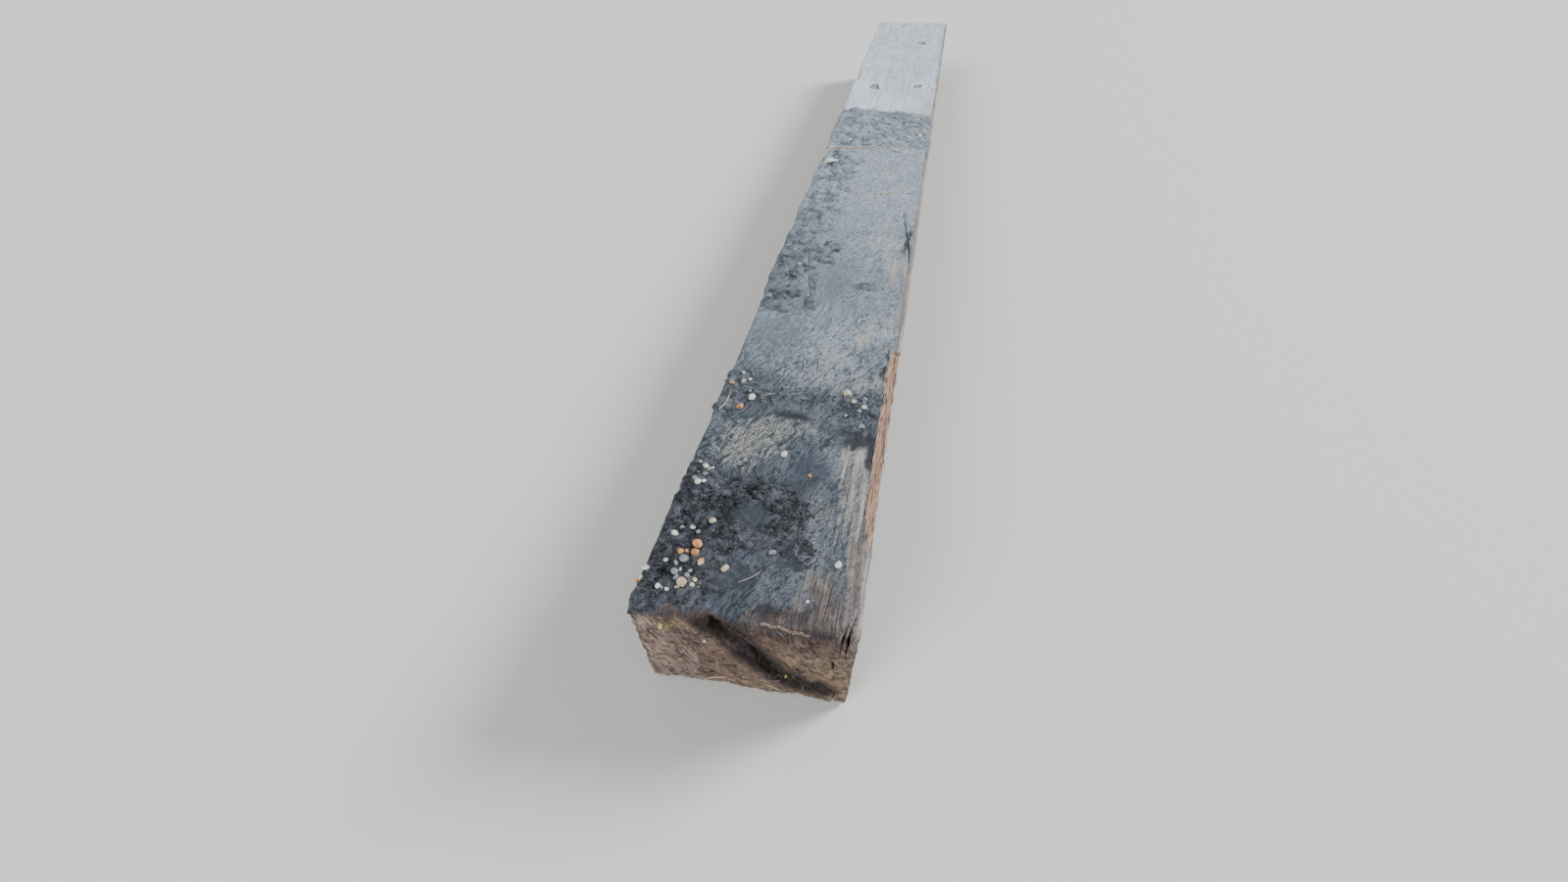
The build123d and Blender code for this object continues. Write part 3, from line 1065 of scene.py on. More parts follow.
def fine_relief(wood):
    """The height that the Bump node reads: fibres, mud, end grain or torn threads."""
    grain_height = wood.fibres * 0.5 - wood.rings * 0.2 + wood.streaks * 0.5 - wood.cracks * 1.6
    film_height = wood.swirl * 1.6 + wood.dabs * 1.6 + wood.drag * 1.0 + wood.speck * 0.8
    end_height = wood.mottle * 2.2 + wood.strands * 2.4 - wood.cracks * 1.0
    behind = (wood.axes.out("Y") - NEAR_MIDDLE - wood.axes.out("X") * NEAR_RISE) / MM
    heights = (
        (film_height, wood.film * (1.0 - wood.bare)),
        (end_height, fade(behind, 16, 6)),
        (wood.threads * 2.5, wood.tear),
    )
    height = grain_height
    for other, share in heights:
        height = wood.node("Mix", {}, {0: share, 2: height, 3: other})
    return height


print("decay and torn fibres ready")


# %% All the layers
def weathered_hardwood():
    wood = Finish("weathered_hardwood")
    grow(wood)
    mud = mud_film(wood)
    wood.up = wood.facing_up()
    wood.arris = fade(wood.axes.out("X") + (wood.dabs - 0.5) * 0.02, HIGH.x - 0.009, HIGH.x - 0.005)
    wood.top = fade(wood.up, 0.35, 0.75) * (1.0 - wood.arris)
    wood.clean = fade(wood.away + cloud(wood.place, 0.05, 4.0, 0.6) * 46.0, 1850, 1868)
    wood.film = wood.top * (1.0 - wood.clean)
    colour = weather_sides(wood, bare_wood(wood))
    colour = coat(colour, far_wood(wood), wood.top * wood.clean)
    colour = muddy(wood, colour, mud)
    colour = broken_open(wood, colour)
    roughness = 0.88 - wood.hollows * wood.film * 0.22 - wood.speck * 0.12
    return wood.surface(colour, roughness, wood.bump(fine_relief(wood), 0.0016), DULL)


hardwood.data.materials.append(weathered_hardwood())
print("nodes in the wood:", len(hardwood.data.materials[0].node_tree.nodes))

# %% [markdown]
# ## Caked soil
# Wheels and boots have left soil on the top. It lies in heaps a few millimetres thick, crumbly where
# it dried and smooth where it was smeared, and it thins out just over the left arris. A grid is
# draped over the beam with a Shrinkwrap modifier, so that it follows the real surface. Heaps of
# chosen place and height raise it, and noise makes it crumbly. What stays below the wood is cut away,
# which gives the soil its ragged edge, and a thin wall closes the rest. Particles could do this too,
# but they can't make a caked crust that holds together.

# %% Heaps, in millimetres
# Each is across, from the near end, half width, half length, turn in degrees, height.
NEAR_HEAPS = (
    (-112, 196, 54, 50, 0, 9), (-52, 214, 44, 30, 12, 8), (0, 208, 40, 28, -14, 7),
    (36, 186, 28, 24, -30, 6), (20, 150, 46, 24, -8, 3.2), (-98, 128, 50, 44, 0, 6.5),
    (-112, 62, 44, 44, 0, 6.5), (-84, 42, 36, 34, 0, 6), (-136, 10, 22, 22, 0, 8),
    (-128, 240, 30, 24, 0, 8), (-60, 92, 30, 50, 20, 4), (-138, 130, 24, 90, 0, 5),
    (-4, 128, 56, 26, 0, 2.6), (-60, 150, 34, 40, 0, 5), (30, 120, 50, 30, 0, 2.2),
    (-30, 70, 44, 30, 0, 2.0), (-104, 432, 52, 26, 4, 6), (-126, 470, 30, 22, 0, 5),
    (-70, 420, 34, 16, -12, 4.5), (-128, 392, 24, 36, 0, 4), (-10, 434, 60, 13, 0, 2.2),
    (84, 442, 36, 22, 10, 5.5), (104, 412, 28, 30, 0, 5), (60, 412, 40, 10, -24, 3.4),
    (118, 456, 22, 26, 0, 4), (92, 386, 22, 16, 0, 3.2), (-148, 120, 18, 150, 0, 3.5),
    (-148, 430, 18, 70, 0, 3.5),
)
MIDDLE_HEAPS = (
    (-122, 704, 34, 30, 0, 8), (-112, 748, 40, 32, 10, 11), (-128, 800, 36, 44, 0, 9),
    (-104, 842, 40, 34, 0, 9), (-122, 892, 40, 44, 0, 11), (-100, 936, 38, 34, 0, 9),
    (-124, 980, 40, 40, 0, 7), (-92, 692, 22, 20, 0, 6), (-46, 712, 14, 34, 10, 5),
    (-52, 790, 9, 60, 8, 4), (-40, 944, 28, 34, 0, 9), (-42, 884, 24, 20, 0, 7),
    (-62, 900, 26, 60, 0, 4), (-92, 1040, 50, 44, 0, 6), (-112, 1100, 50, 60, 0, 7),
    (-74, 1130, 44, 40, 0, 5), (-96, 1190, 62, 60, 0, 7), (-60, 1240, 40, 50, 0, 5),
    (-106, 1290, 54, 60, 0, 8), (-76, 1340, 50, 50, 0, 6), (-104, 1400, 56, 50, 0, 7),
    (-64, 1430, 44, 40, 0, 5), (-100, 1466, 60, 40, 0, 8), (58, 800, 26, 13, 10, 3.4),
    (-148, 860, 20, 200, 0, 5.5), (-148, 1260, 20, 280, 0, 4.5),
)
FAR_HEAPS = (
    (-84, 1600, 60, 70, 0, 8), (-20, 1640, 60, 60, 0, 6), (-104, 1690, 50, 60, 0, 9),
    (-60, 1760, 64, 60, 0, 8), (20, 1730, 70, 80, 0, 7), (84, 1660, 60, 80, 0, 6),
    (104, 1760, 50, 70, 0, 8), (44, 1806, 90, 34, 0, 8), (-80, 1818, 76, 24, 0, 8),
    (120, 1600, 34, 50, 0, 5), (-70, 1548, 76, 24, 0, 6), (30, 1580, 60, 40, 0, 4),
    (-148, 1680, 20, 170, 0, 4.5),
)
# Where the soil was smeared smooth: across, from the near end, half width, half length.
SMEARED = ((-33, 168, 30, 24), (-70, 730, 24, 46), (20, 60, 90, 60), (-95, 596, 60, 50))
print(len(NEAR_HEAPS) + len(MIDDLE_HEAPS) + len(FAR_HEAPS), "heaps")


# %% How thick the soil is
def soil_depth(point, heaps):
    """How thick the soil is at a point, in millimetres."""
    across, along = point.x / MM, from_near(point)
    shake = 0.34 * noise.noise(Vector((across, along, 0.0)) / 21.0)
    shake += 0.20 * noise.noise(Vector((along, across, 70.0)) / 8.0)
    thickest = 0.0
    for heap in heaps:
        outward = oval_distance(across, along, heap) + shake
        thickest = max(thickest, heap[5] * (1.0 - ease(outward, 0.58, 1.06)))
    down = (HEIGHT - point.z) / MM + 9.0 * noise.noise(Vector((along, 0.0, 0.0)) / 14.0)
    return thickest * (1.0 - ease(down, 4.0, 15.0))


def smeared(point):
    """1 where the soil was smeared smooth."""
    across, along = point.x / MM, from_near(point)
    return max(1.0 - ease(oval_distance(across, along, oval), 0.6, 1.1) for oval in SMEARED)


def crumbliness(point, heaps):
    """1 on thick loose soil, less where it was smeared or lies by the left arris."""
    thick = ease(soil_depth(point, heaps), 0.6, 4.0)
    return thick * (1.0 - 0.9 * smeared(point)) * (0.4 + 0.6 * ease(point.x - LOW.x, 0.002, 0.03))


print("soil at the near left corner", round(soil_depth(spot(-120, 60), NEAR_HEAPS), 1), "mm")


# %% The ground that soil and stones lie on
def surface_tree(piece):
    """A piece's surface, ready to be searched for the nearest point or the point under a ray."""
    bpy.context.view_layer.update()
    return BVHTree.FromObject(piece, bpy.context.evaluated_depsgraph_get())


wood_tree = surface_tree(hardwood)
print("wood under the middle of the beam:", round(wood_tree.find_nearest(spot(0, 1500))[0].z, 4))

# %% A sheet that hangs over the left arris
# How wide the sheet is past each arris in metres, how far it is folded down, and how high it starts.
FOLD, MARGIN = 0.022, 0.008
FOLD_ANGLE = 52
START_HEIGHT = HEIGHT + 0.003


def draped_sheet(name, start, stop, cell):
    """A grid laid on the beam between two distances from the near end."""
    wide = WIDTH + FOLD + MARGIN
    long = (stop - start) * MM
    nothing()
    bpy.ops.mesh.primitive_grid_add(
        x_subdivisions=int(wide / cell), y_subdivisions=int(long / cell), size=1.0, enter_editmode=True
    )
    sheet = named(name)
    bpy.ops.transform.resize(value=(wide, long, 1.0))
    middle_y = spot(0, (start + stop) / 2).y
    bpy.ops.transform.translate(value=((MARGIN - FOLD) / 2, middle_y, START_HEIGHT))
    pick(sheet, lambda middle, normal: middle.x < LOW.x - 0.001)
    bpy.ops.transform.rotate(
        value=math.radians(FOLD_ANGLE), orient_axis="Y", center_override=(LOW.x, middle_y, START_HEIGHT)
    )
    done()
    apply(sheet, "SHRINKWRAP", target=hardwood, wrap_method="NEAREST_SURFACEPOINT")
    return sheet


print("the sheet is", round(WIDTH + FOLD + MARGIN, 3), "m wide")

# %% Building up the soil
# In millimetres, apart from the wall.
DEEPEST_SOIL = 12.0
HEAP_SHARE = 0.72  # how much of a heap's planned height is built
SUNK = 1.6  # a push down, of which the bare sheet gets half
HUMP_RANGE = 14.0  # from the deepest hollow to the highest hump
CRUST_WALL = 0.0045


def caked_soil(name, start, stop, cell, heaps, clod, depth, fine, swell):
    """A crust of soil, with clods of a size in millimetres and three depths of noise."""
    crust = draped_sheet(name, start, stop, cell)
    draped = [(v.co.copy(), v.normal.copy()) for v in crust.data.vertices]
    weigh(crust, "heap", lambda p: soil_depth(p, heaps) / DEEPEST_SOIL)
    weigh(crust, "crumbly", lambda p: crumbliness(p, heaps))
    relief(crust, -SUNK)
    relief(crust, DEEPEST_SOIL * HEAP_SHARE, group="heap", middle=0.0)
    relief(crust, swell, (26, 26, 26), "crumbly", noise_depth=2)
    relief(crust, -depth, (clod, clod, clod), "crumbly", kind="VORONOI")
    relief(crust, -fine, (clod * 0.45, clod * 0.45, clod * 0.45), "crumbly", middle=0.45, kind="VORONOI")
    lift = [(v.co - place).dot(normal) for v, (place, normal) in zip(crust.data.vertices, draped)]
    edit(crust)
    bpy.ops.mesh.select_all(action="DESELECT")
    mesh = bmesh.from_edit_mesh(crust.data)
    for face in mesh.faces:
        face.select_set(all(lift[v.index] < 0.0004 for v in face.verts))
    bmesh.update_edit_mesh(crust.data)
    bpy.ops.mesh.delete(type="FACE")
    done()
    apply(crust, "SOLIDIFY", thickness=CRUST_WALL, offset=-1.0)

    def hump(point):
        """A half where the soil is as high as planned, more on a hump and less in a hollow. The finish
        paints shade into hollows and light onto humps from it.
        """
        above = wood_tree.find_nearest(point)[3] / MM - soil_depth(point, heaps) * HEAP_SHARE + SUNK
        return 0.5 + above / HUMP_RANGE

    mark(crust, "smeared", smeared)
    mark(crust, "hump", hump)
    smooth(50)
    highest = max(v.co.z for v in crust.data.vertices)
    print(name, len(crust.data.polygons), "faces, top at", round(highest, 4))
    return crust


crusts = [
    caked_soil("near_soil_crust", -6, 500, 0.0016, NEAR_HEAPS, 11, 4.2, 2.4, 8.0),
    caked_soil("middle_soil_crust", 560, 1510, 0.0034, MIDDLE_HEAPS, 34, 9.0, 2.4, 13.0),
    caked_soil("far_soil_crust", 1510, 1870, 0.0034, FAR_HEAPS, 22, 5.0, 2.2, 11.0),
]

# %% [markdown]
# ## The soil's finish
# Wet soil with coal dust in it is almost black, and its crumbs dry to grey first. So the colour
# follows two noises, one as large as the crumbs and one as large as the damp patches. Painted shade
# makes it darker between grains and in hollows, and painted light makes it paler on humps. Where the
# soil was smeared it turns bluish and a little smoother: wet clay, with a painted sky reflection.
# Further along the beam the same soil is paler, partly dried and partly painted haze glare.

# %% Soil colours
SOIL_BLACK = tone(38, 40, 44)
SOIL_DARK = tone(80, 84, 91)
SOIL_FAR = tone(141, 152, 164)
# Smeared wet clay; its blue is partly a painted reflection of the sky.
SMEAR_BLUE = tone(55, 60, 70)


def soil_finish():
    soil = Finish("caked_soil")
    place = soil.place
    away = (soil.node("SeparateXYZ", {}, {0: place}).out("Y") - NEAR_MIDDLE) / MM
    damp = cloud(place, 0.045, 3.0, 0.5)
    lumps = cloud(place, 0.011, 4.0, 0.65)
    spots = cloud(place, 0.018, 4.0, 0.6)
    sand, chance = grains(wander(place, 0.004, 0.0012), 0.0028)
    fine, fine_chance = grains(place, 0.0015)
    colour = coats(
        SOIL_DARK,
        (SOIL_BLACK, fade(damp * 0.55 + spots * 0.45, 0.44, 0.56) * 0.68),
        # Paler further along the beam: partly drier soil, and partly painted haze glare.
        (SOIL_FAR, fade(away, 240, 560, 0.0, 0.4) + fade(away, 850, 1250, 0.0, 0.52)),
    )
    light = fade(lumps * 1.1 + chance * 0.2 + fine_chance * 0.15, 0.45, 1.0, -0.5, 0.55)
    # Painted shade between the grains and in the hollows, and painted light on the humps.
    light = light - fade(sand, 0.3, 0.9) * 0.3 + fade(soil.mark("hump"), 0.25, 0.75, -0.5, 0.4)
    smooth = soil.mark("smeared")
    colour = coats(
        shade(colour, 1.0 + light * fade(away, 350, 700, 1.0, 0.75)),
        (SCUFF, fade(fine_chance, 0.965, 0.985) * 0.3),
        # Bluish where smeared: wet clay, with a painted reflection of the sky.
        (SMEAR_BLUE, smooth * fade(lumps * 0.5 + spots * 0.5, 0.4, 0.6, 0.85, 0.45)),
    )
    height = (lumps * 1.6 - sand * 1.0 - fine * 0.5) * (1.0 - smooth * 0.85)
    return soil.surface(colour, 0.93 - smooth * 0.22, soil.bump(height, 0.0018), DULL)


soil_skin = soil_finish()
for crust in crusts:
    crust.data.materials.append(soil_skin)
print("soil coloured")

# %% [markdown]
# ## Crumbs, stones and splinters: one model, many copies
# A crumb of soil, a pebble, a broken stone and a splinter of wood are each modelled once or a few
# times. Copies of them, each with its own mesh, are turned and sized by a seeded dice and set down on
# whatever is highest at their place, so nothing floats. A ray shot straight down finds that height.
# Then the copies are joined.

# %% Setting things down
dice = random.Random(41)
grounds = [wood_tree] + [surface_tree(crust) for crust in crusts]
DIRT_RISE = 0.0150  # how far dirt may stand above the beam's top


def ground(across, along):
    """The highest surface at a place on the top, as a point and its normal."""
    hits = [tree.ray_cast(spot(across, along, 400), DOWN) for tree in grounds]
    hits = [(hit[0], hit[1]) for hit in hits if hit[0] is not None]
    return max(hits, key=lambda hit: hit[0].z) if hits else (None, None)


def join(name, copies, finish, angle=35.0):
    """Joins copies into one piece with one finish."""
    only(copies[0])
    for copy in copies:
        copy.select_set(True)
    bpy.ops.object.join()
    piece = named(name)
    piece.data.name = name
    piece.data.materials.clear()
    piece.data.materials.append(finish)
    smooth(angle)
    print(name, len(copies), "copies,", len(piece.data.polygons), "faces")
    return piece


def copy_of(master, place, turn, size):
    """A copy with its own mesh, sized, turned and set in place."""
    copy = bpy.data.objects.new(master.name, master.data.copy())
    copy.data.transform(Matrix.LocRotScale(place, Euler(turn), Vector(size)))
    bpy.context.scene.collection.objects.link(copy)
    return copy


def keep_low(piece_height, place):
    """Sinks a stone that would stand higher than the dirt on the beam may."""
    return min(place, HEIGHT + DIRT_RISE - piece_height)


print("height of the soil at the ring of stones:", round(ground(-100, 90)[0].z, 4))


# %% Modelling the crumbs and stones
def lump(name, detail, roughness, seed_place):
    """A rounded lump one metre across, to be scaled down."""
    nothing()
    bpy.ops.mesh.primitive_ico_sphere_add(subdivisions=detail, radius=0.5, location=(0.0, 0.0, 0.0))
    piece = named(name)
    edit(piece)
    everything()
    bpy.ops.transform.translate(value=seed_place)
    done()
    relief(piece, roughness, (450, 450, 450), noise_depth=1)
    edit(piece)
    everything()
    bpy.ops.transform.translate(value=[-part for part in seed_place])
    done()
    return piece


def broken_stone(name, seed):
    """A stone with flat broken sides and worn edges."""
    chips = random.Random(seed)
    piece = lump(name, 2, 120.0, (seed * 1.7, 0.4, 0.2))
    edit(piece)
    for _ in range(9):
        way = Vector((chips.uniform(-1, 1), chips.uniform(-1, 1), chips.uniform(-1, 1))).normalized()
        everything()
        bpy.ops.mesh.bisect(
            plane_co=way * chips.uniform(0.27, 0.42), plane_no=way, clear_outer=True, use_fill=True
        )
    everything()
    bpy.ops.mesh.dissolve_limited(angle_limit=math.radians(14))
    everything()
    bpy.ops.mesh.bevel(offset=0.035, segments=2, affect="EDGES")
    triangles()
    done()
    return piece


crumb_masters = [lump(f"crumb_{n}", 1, 420.0, (n * 1.3, 0.2, 0.0)) for n in range(4)]
clod_masters = [lump(f"clod_{n}", 2, 380.0, (0.1, n * 1.9, 0.0)) for n in range(4)]
pebble_masters = [lump(f"pebble_{n}", 3, 130.0, (0.4, 0.0, n * 1.1)) for n in range(3)]
stone_masters = [broken_stone(f"stone_{n}", n + 3) for n in range(4)]
print("faces of the masters:", [len(m.data.polygons) for m in crumb_masters + clod_masters + stone_masters])

# %% Scattering crumbs of soil
STRAY_CRUMBS = 0.015  # the share of crumbs that fall where there is no soil
CLOD_FROM = 4.0  # crumbs above this size in millimetres get the finer model
crumbs = []


def scatter_crumbs(count, start, stop, heaps, smallest, largest):
    """Drops crumbs where there is soil, and a few beside it."""
    tries = 0
    made = 0
    while made < count and tries < count * 30:
        tries += 1
        across = dice.uniform(-151, 134)
        along = dice.uniform(start, stop)
        depth = soil_depth(spot(across, along), heaps)
        chance = STRAY_CRUMBS + (1.0 - STRAY_CRUMBS) * ease(depth, 0.8, 5.0)
        if dice.random() > chance or smeared(spot(across, along)) > 0.5:
            continue
        place, normal = ground(across, along)
        if place is None or normal.z < 0.3:
            continue
        size = smallest + (largest - smallest) * dice.random() ** 4 * ease(depth, 0.5, 3.0)
        master = dice.choice(clod_masters if size > CLOD_FROM else crumb_masters)
        low = keep_low(size * MM * 0.45, place.z + size * MM * 0.12)
        turn = [dice.uniform(-3.1, 3.1) for _ in range(3)]
        sides = [size * MM * dice.uniform(0.55, 1.2) for _ in range(3)]
        crumbs.append(copy_of(master, Vector((place.x, place.y, low)), turn, sides))
        made += 1
    print(made, "crumbs between", start, "and", stop, "mm")


scatter_crumbs(900, -4, 490, NEAR_HEAPS, 1.8, 8.0)
scatter_crumbs(380, 640, 1500, MIDDLE_HEAPS, 2.4, 10.0)
scatter_crumbs(300, 1520, 1850, FAR_HEAPS, 2.4, 9.0)
soil_crumbs = join("soil_crumbs", crumbs, soil_skin, 60.0)
mark(soil_crumbs, "smeared", lambda p: 0.0)
# Crumbs count as a little humped, so the painted light makes them slightly paler.
mark(soil_crumbs, "hump", lambda p: 0.55)

# %% [markdown]
# ## Stones in the mud
# Pebbles and broken stones have stuck in the soil: a loose ring of them near the front left corner, a
# few bright ones alone, and more in the band of soil across the beam. Their places are listed one
# by one, because the eye remembers where bright things lie. Four plain finishes cover them: white
# quartz, cream limestone, blue-grey basalt and orange brick-like stone.

# %% Places of the stones
# Each is across, from the near end, size, in millimetres.
STONES = {
    "white_stones": (
        (-9, 297, 13), (108, 116, 12), (-93, 414, 14), (77, 53, 5), (-128, 113, 9), (-107, 130, 9),
        (-127, 71, 7), (-123, 30, 8), (-149, 53, 10), (-123, 243, 11), (75, 406, 5), (103, 432, 9),
        (-112, 244, 8), (-110, 29, 6), (-118, 452, 10), (60, 1200, 7), (75, 1120, 6), (-86, 1572, 12),
        (117, 1656, 14), (-125, 210, 10), (-132, 228, 7), (86, 1619, 12), (128, 1700, 9),
        (-116, 212, 7), (-124, 474, 8), (-134, 250, 6), (128, 1590, 8), (104, 1480, 6), (-60, 1640, 7),
        (-108, 460, 7),
    ),
    "cream_stones": (
        (-43, 76, 12), (-82, 146, 10), (69, 458, 17), (-79, 79, 11), (-77, 49, 9), (-79, 42, 7),
        (83, 440, 11), (55, 1527, 15), (-82, 1662, 12), (-93, 43, 17), (96, 1650, 10), (-102, 61, 7),
        (-151, 39, 8), (-98, 36, 8), (-115, 238, 9), (122, 1760, 8), (-120, 1340, 7), (-105, 760, 8),
        (-96, 845, 9), (66, 1150, 5), (92, 1290, 6),
    ),
    "grey_stones": (
        (15, 115, 12), (-121, 125, 9), (-97, 126, 8), (-102, 77, 13), (-108, 56, 12), (-100, 428, 9),
        (102, 453, 9), (105, 385, 11), (-111, 69, 8), (-88, 62, 8), (-104, 48, 9), (-131, 214, 9),
        (-118, 226, 9), (-90, 54, 7), (110, 1630, 12), (100, 1720, 10), (-70, 1700, 10),
        (-114, 790, 10), (-118, 900, 9), (-118, 30, 6), (96, 422, 8), (-50, 1600, 8), (132, 1670, 10),
        (-96, 1180, 8), (-60, 930, 9),
    ),
    "orange_stones": (
        (-92, 105, 14), (-91, 92, 13), (-79, 80, 11), (-108, 388, 14), (40, 263, 7), (-111, 87, 10),
        (-137, 442, 10), (-153, 34, 9), (-103, 90, 7), (14, 1660, 8), (112, 1790, 8),
    ),
}
print(sum(len(places) for places in STONES.values()), "stones")

# %% Stone finishes
# Each is a finish's name, its pale and dark colours, the colour of its flecks, and how rough it is.
STONE_LOOKS = {
    "white_stones": ("white_quartz", (226, 225, 216), (190, 190, 184), (150, 150, 150), 0.42),
    "cream_stones": ("cream_limestone", (206, 192, 168), (168, 154, 134), (120, 110, 98), 0.55),
    "grey_stones": ("blue_grey_basalt", (146, 152, 160), (110, 116, 124), (70, 74, 80), 0.5),
    "orange_stones": ("orange_stone", (208, 154, 96), (184, 122, 72), (120, 80, 60), 0.5),
}
MOST_DARKENING = 0.85


def stone_finish(name, pale, dark, fleck, rough):
    """A stone of two colours and small flecks, darker on its downward faces and in patches."""
    stone = Finish(name)
    blotch = cloud(stone.place, 0.006, 4.0, 0.6)
    grit = cloud(stone.place, 0.0009, 2.0, 0.6)
    dust = cloud(stone.place, 0.011, 3.0, 0.6)
    # Darker on the faces that look down, and in patches.
    dirt = fade(stone.facing_up(), 0.25, -0.25) + fade(dust, 0.52, 0.66) * 0.5
    colour = coats(
        tone(*pale),
        (tone(*dark), fade(blotch, 0.42, 0.66)),
        (tone(*fleck), fade(grit, 0.6, 0.74) * 0.7),
        (SOIL_DARK, least(dirt, MOST_DARKENING)),
    )
    return stone.surface(colour, rough + grit * 0.2, stone.bump(blotch + grit * 0.4, 0.0005, 0.6))


stone_finishes = {name: stone_finish(*look) for name, look in STONE_LOOKS.items()}
print("stone finishes:", [look[0] for look in STONE_LOOKS.values()])


# %% Pressing the stones in
def set_stones(name, places):
    """Presses stones into the surface at their places."""
    copies = []
    for across, along, size in places:
        place, _ = ground(across, along)
        if place is None:
            place = spot(across, along, 214)
        flat = dice.uniform(0.5, 0.62)
        rise = keep_low(size * MM * flat * 0.52, place.z + size * MM * flat * 0.18)
        master = dice.choice(pebble_masters + stone_masters)
        turn = (dice.uniform(-0.25, 0.25), dice.uniform(-0.25, 0.25), dice.uniform(0.0, 6.28))
        wide = size * MM * dice.uniform(1.0, 1.2)
        sides = (wide, wide * dice.uniform(0.72, 0.95), size * MM * flat)
        copies.append(copy_of(master, Vector((place.x, place.y, rise)), turn, sides))
    return join(name, copies, stone_finishes[name], 32.0)


stones = [set_stones(name, places) for name, places in STONES.items()]

# %% [markdown]
# ## Splinters
# Where the arris tore off, fibres of the wood stand up and lie along the scar, some as thin as a hair
# and some as thick as a match. A splinter is a ring of five corners extruded in steps, thinner at
# each step and a little aside, which gives a closed, tapering, slightly bent sliver. Hundreds of
# copies lie along the grain. The same sliver makes the pale frayed edge at the front.

# %% One splinter
# A sliver's steps: how far each goes aside and up, and how much wider or thinner it gets.
SLIVER_STEPS = (
    ((0.02, 0.10, 2.6), (0.06, 0.04, 1.3), (-0.05, 0.02, 0.8), (0.05, -0.08, 0.3)),
    ((-0.05, 0.06, 2.2), (-0.04, 0.06, 1.5), (0.10, -0.02, 0.7), (0.08, 0.06, 0.25)),
    ((0.03, 0.02, 2.9), (-0.08, 0.00, 1.1), (0.03, 0.05, 0.9), (-0.06, 0.12, 0.2)),
)


def sliver(name, drift):
    """A bent sliver one metre long along Y and about half a metre thick, to be scaled down."""
    nothing()
    bpy.ops.mesh.primitive_circle_add(
        vertices=5, radius=0.12, fill_type="NGON", location=(0.0, -0.5, 0.0),
        rotation=(math.radians(90), 0.0, 0.0), enter_editmode=True,
    )
    for side, lift, width in drift:
        bpy.ops.mesh.extrude_region_move(TRANSFORM_OT_translate={"value": (side, 1.0 / len(drift), lift)})
        bpy.ops.transform.resize(value=(width, 1.0, width))
    everything()
    bpy.ops.mesh.normals_make_consistent(inside=False)
    done()
    bpy.ops.object.transform_apply(location=True, rotation=True, scale=True)
    return named(name)


sliver_masters = [sliver(f"sliver_{n}", drift) for n, drift in enumerate(SLIVER_STEPS)]
print("sliver faces", len(sliver_masters[0].data.polygons))


# %% Finishes of torn and dry things
def torn_finish():
    fibres = Finish("torn_fibres")
    strands = cloud(fibres.place, 0.0012, 3.0, 0.6, 30.0)
    patchy = cloud(fibres.place, 0.02, 3.0, 0.5, 2.5)
    colour = coats(
        TORN_WOOD,
        (TORN_DARK, fade(patchy, 0.45, 0.62) * 0.7),
        (TORN_PALE, fade(strands, 0.48, 0.68) * 0.8),
        (TORN_DARK, fade(strands, 0.46, 0.32) * 0.7),
    )
    return fibres.surface(colour, 0.85 - strands * 0.1, fibres.bump(strands, 0.0004, 0.7))


def dry_finish(name, pale, dark, blob, edges=(0.42, 0.62), rough=0.8, sheen=0.1, press=0.5, grit=None):
    """A dry stalk, root, leaf or fibre: pale, with darker stretches of blob metres."""
    finish = Finish(name)
    stretch = cloud(finish.place, blob, 3.0, 0.6)
    fine = cloud(finish.place, grit, 2.0, 0.6) if grit else stretch
    colour = coat(tone(*pale), tone(*dark), fade(stretch, *edges))
    return finish.surface(colour, rough - fine * sheen, finish.bump(fine, 0.0003, press))


def stalk_finish(name, pale, dark):
    return dry_finish(name, pale, dark, 0.006, sheen=0.15, press=0.4, grit=0.0012)


torn_fibres = torn_finish()
print("made", torn_fibres.name)

# %% Splinters in the scar
SPLINTERS = 420
splinters = []
for _ in range(SPLINTERS):
    along = dice.uniform(SCAR_START + 6, SCAR_END - 14)
    share = dice.random()
    across = 150.0 - along_line(along, SCAR_EDGE) * share * dice.uniform(0.85, 1.05)
    place, _ = ground(across, along)
    if place is None:
        continue
    long = dice.uniform(12, 70) * (0.6 if along > 540 or along < 200 else 1.0)
    thick = 0.8 + 2.4 * dice.random() ** 2
    turn = (dice.uniform(-0.06, 0.10), dice.uniform(-1.5, 1.5), dice.uniform(-0.13, 0.13))
    rise = Vector((0.0, 0.0, dice.uniform(-0.4, 0.5) * MM))
    sides = (thick * MM, long * MM, thick * MM * dice.uniform(0.5, 1.0))
    splinters.append(copy_of(dice.choice(sliver_masters), place + rise, turn, sides))
torn_splinters = join("torn_splinters", splinters, torn_fibres, 40.0)

# %% Frayed edge at the front
FRAYS = 260
frays = []
for _ in range(FRAYS):
    across = dice.uniform(24, 88)
    along = 12 + 2.5 * noise.noise(Vector((across / 14.0, 0.0, 0.0))) + dice.uniform(-1.1, 1.1)
    place, _ = ground(across, along)
    if place is None:
        continue
    tilt, roll = dice.uniform(-0.3, 0.5), dice.uniform(-1.5, 1.5)
    heading = dice.choice((1.57, -1.57, 0.3)) + dice.uniform(-0.6, 0.6)
    long = dice.uniform(1.2, 5)
    thick = dice.uniform(0.4, 1.1)
    sides = (thick * MM, long * MM, thick * MM * 0.7)
    frays.append(copy_of(dice.choice(sliver_masters), place, (tilt, roll, heading), sides))
frayed_wood = dry_finish("frayed_wood", (196, 176, 154), (138, 112, 94), 0.0015, (0.4, 0.6), 0.82)
frayed_edge = join("frayed_edge", frays, frayed_wood, 40.0)

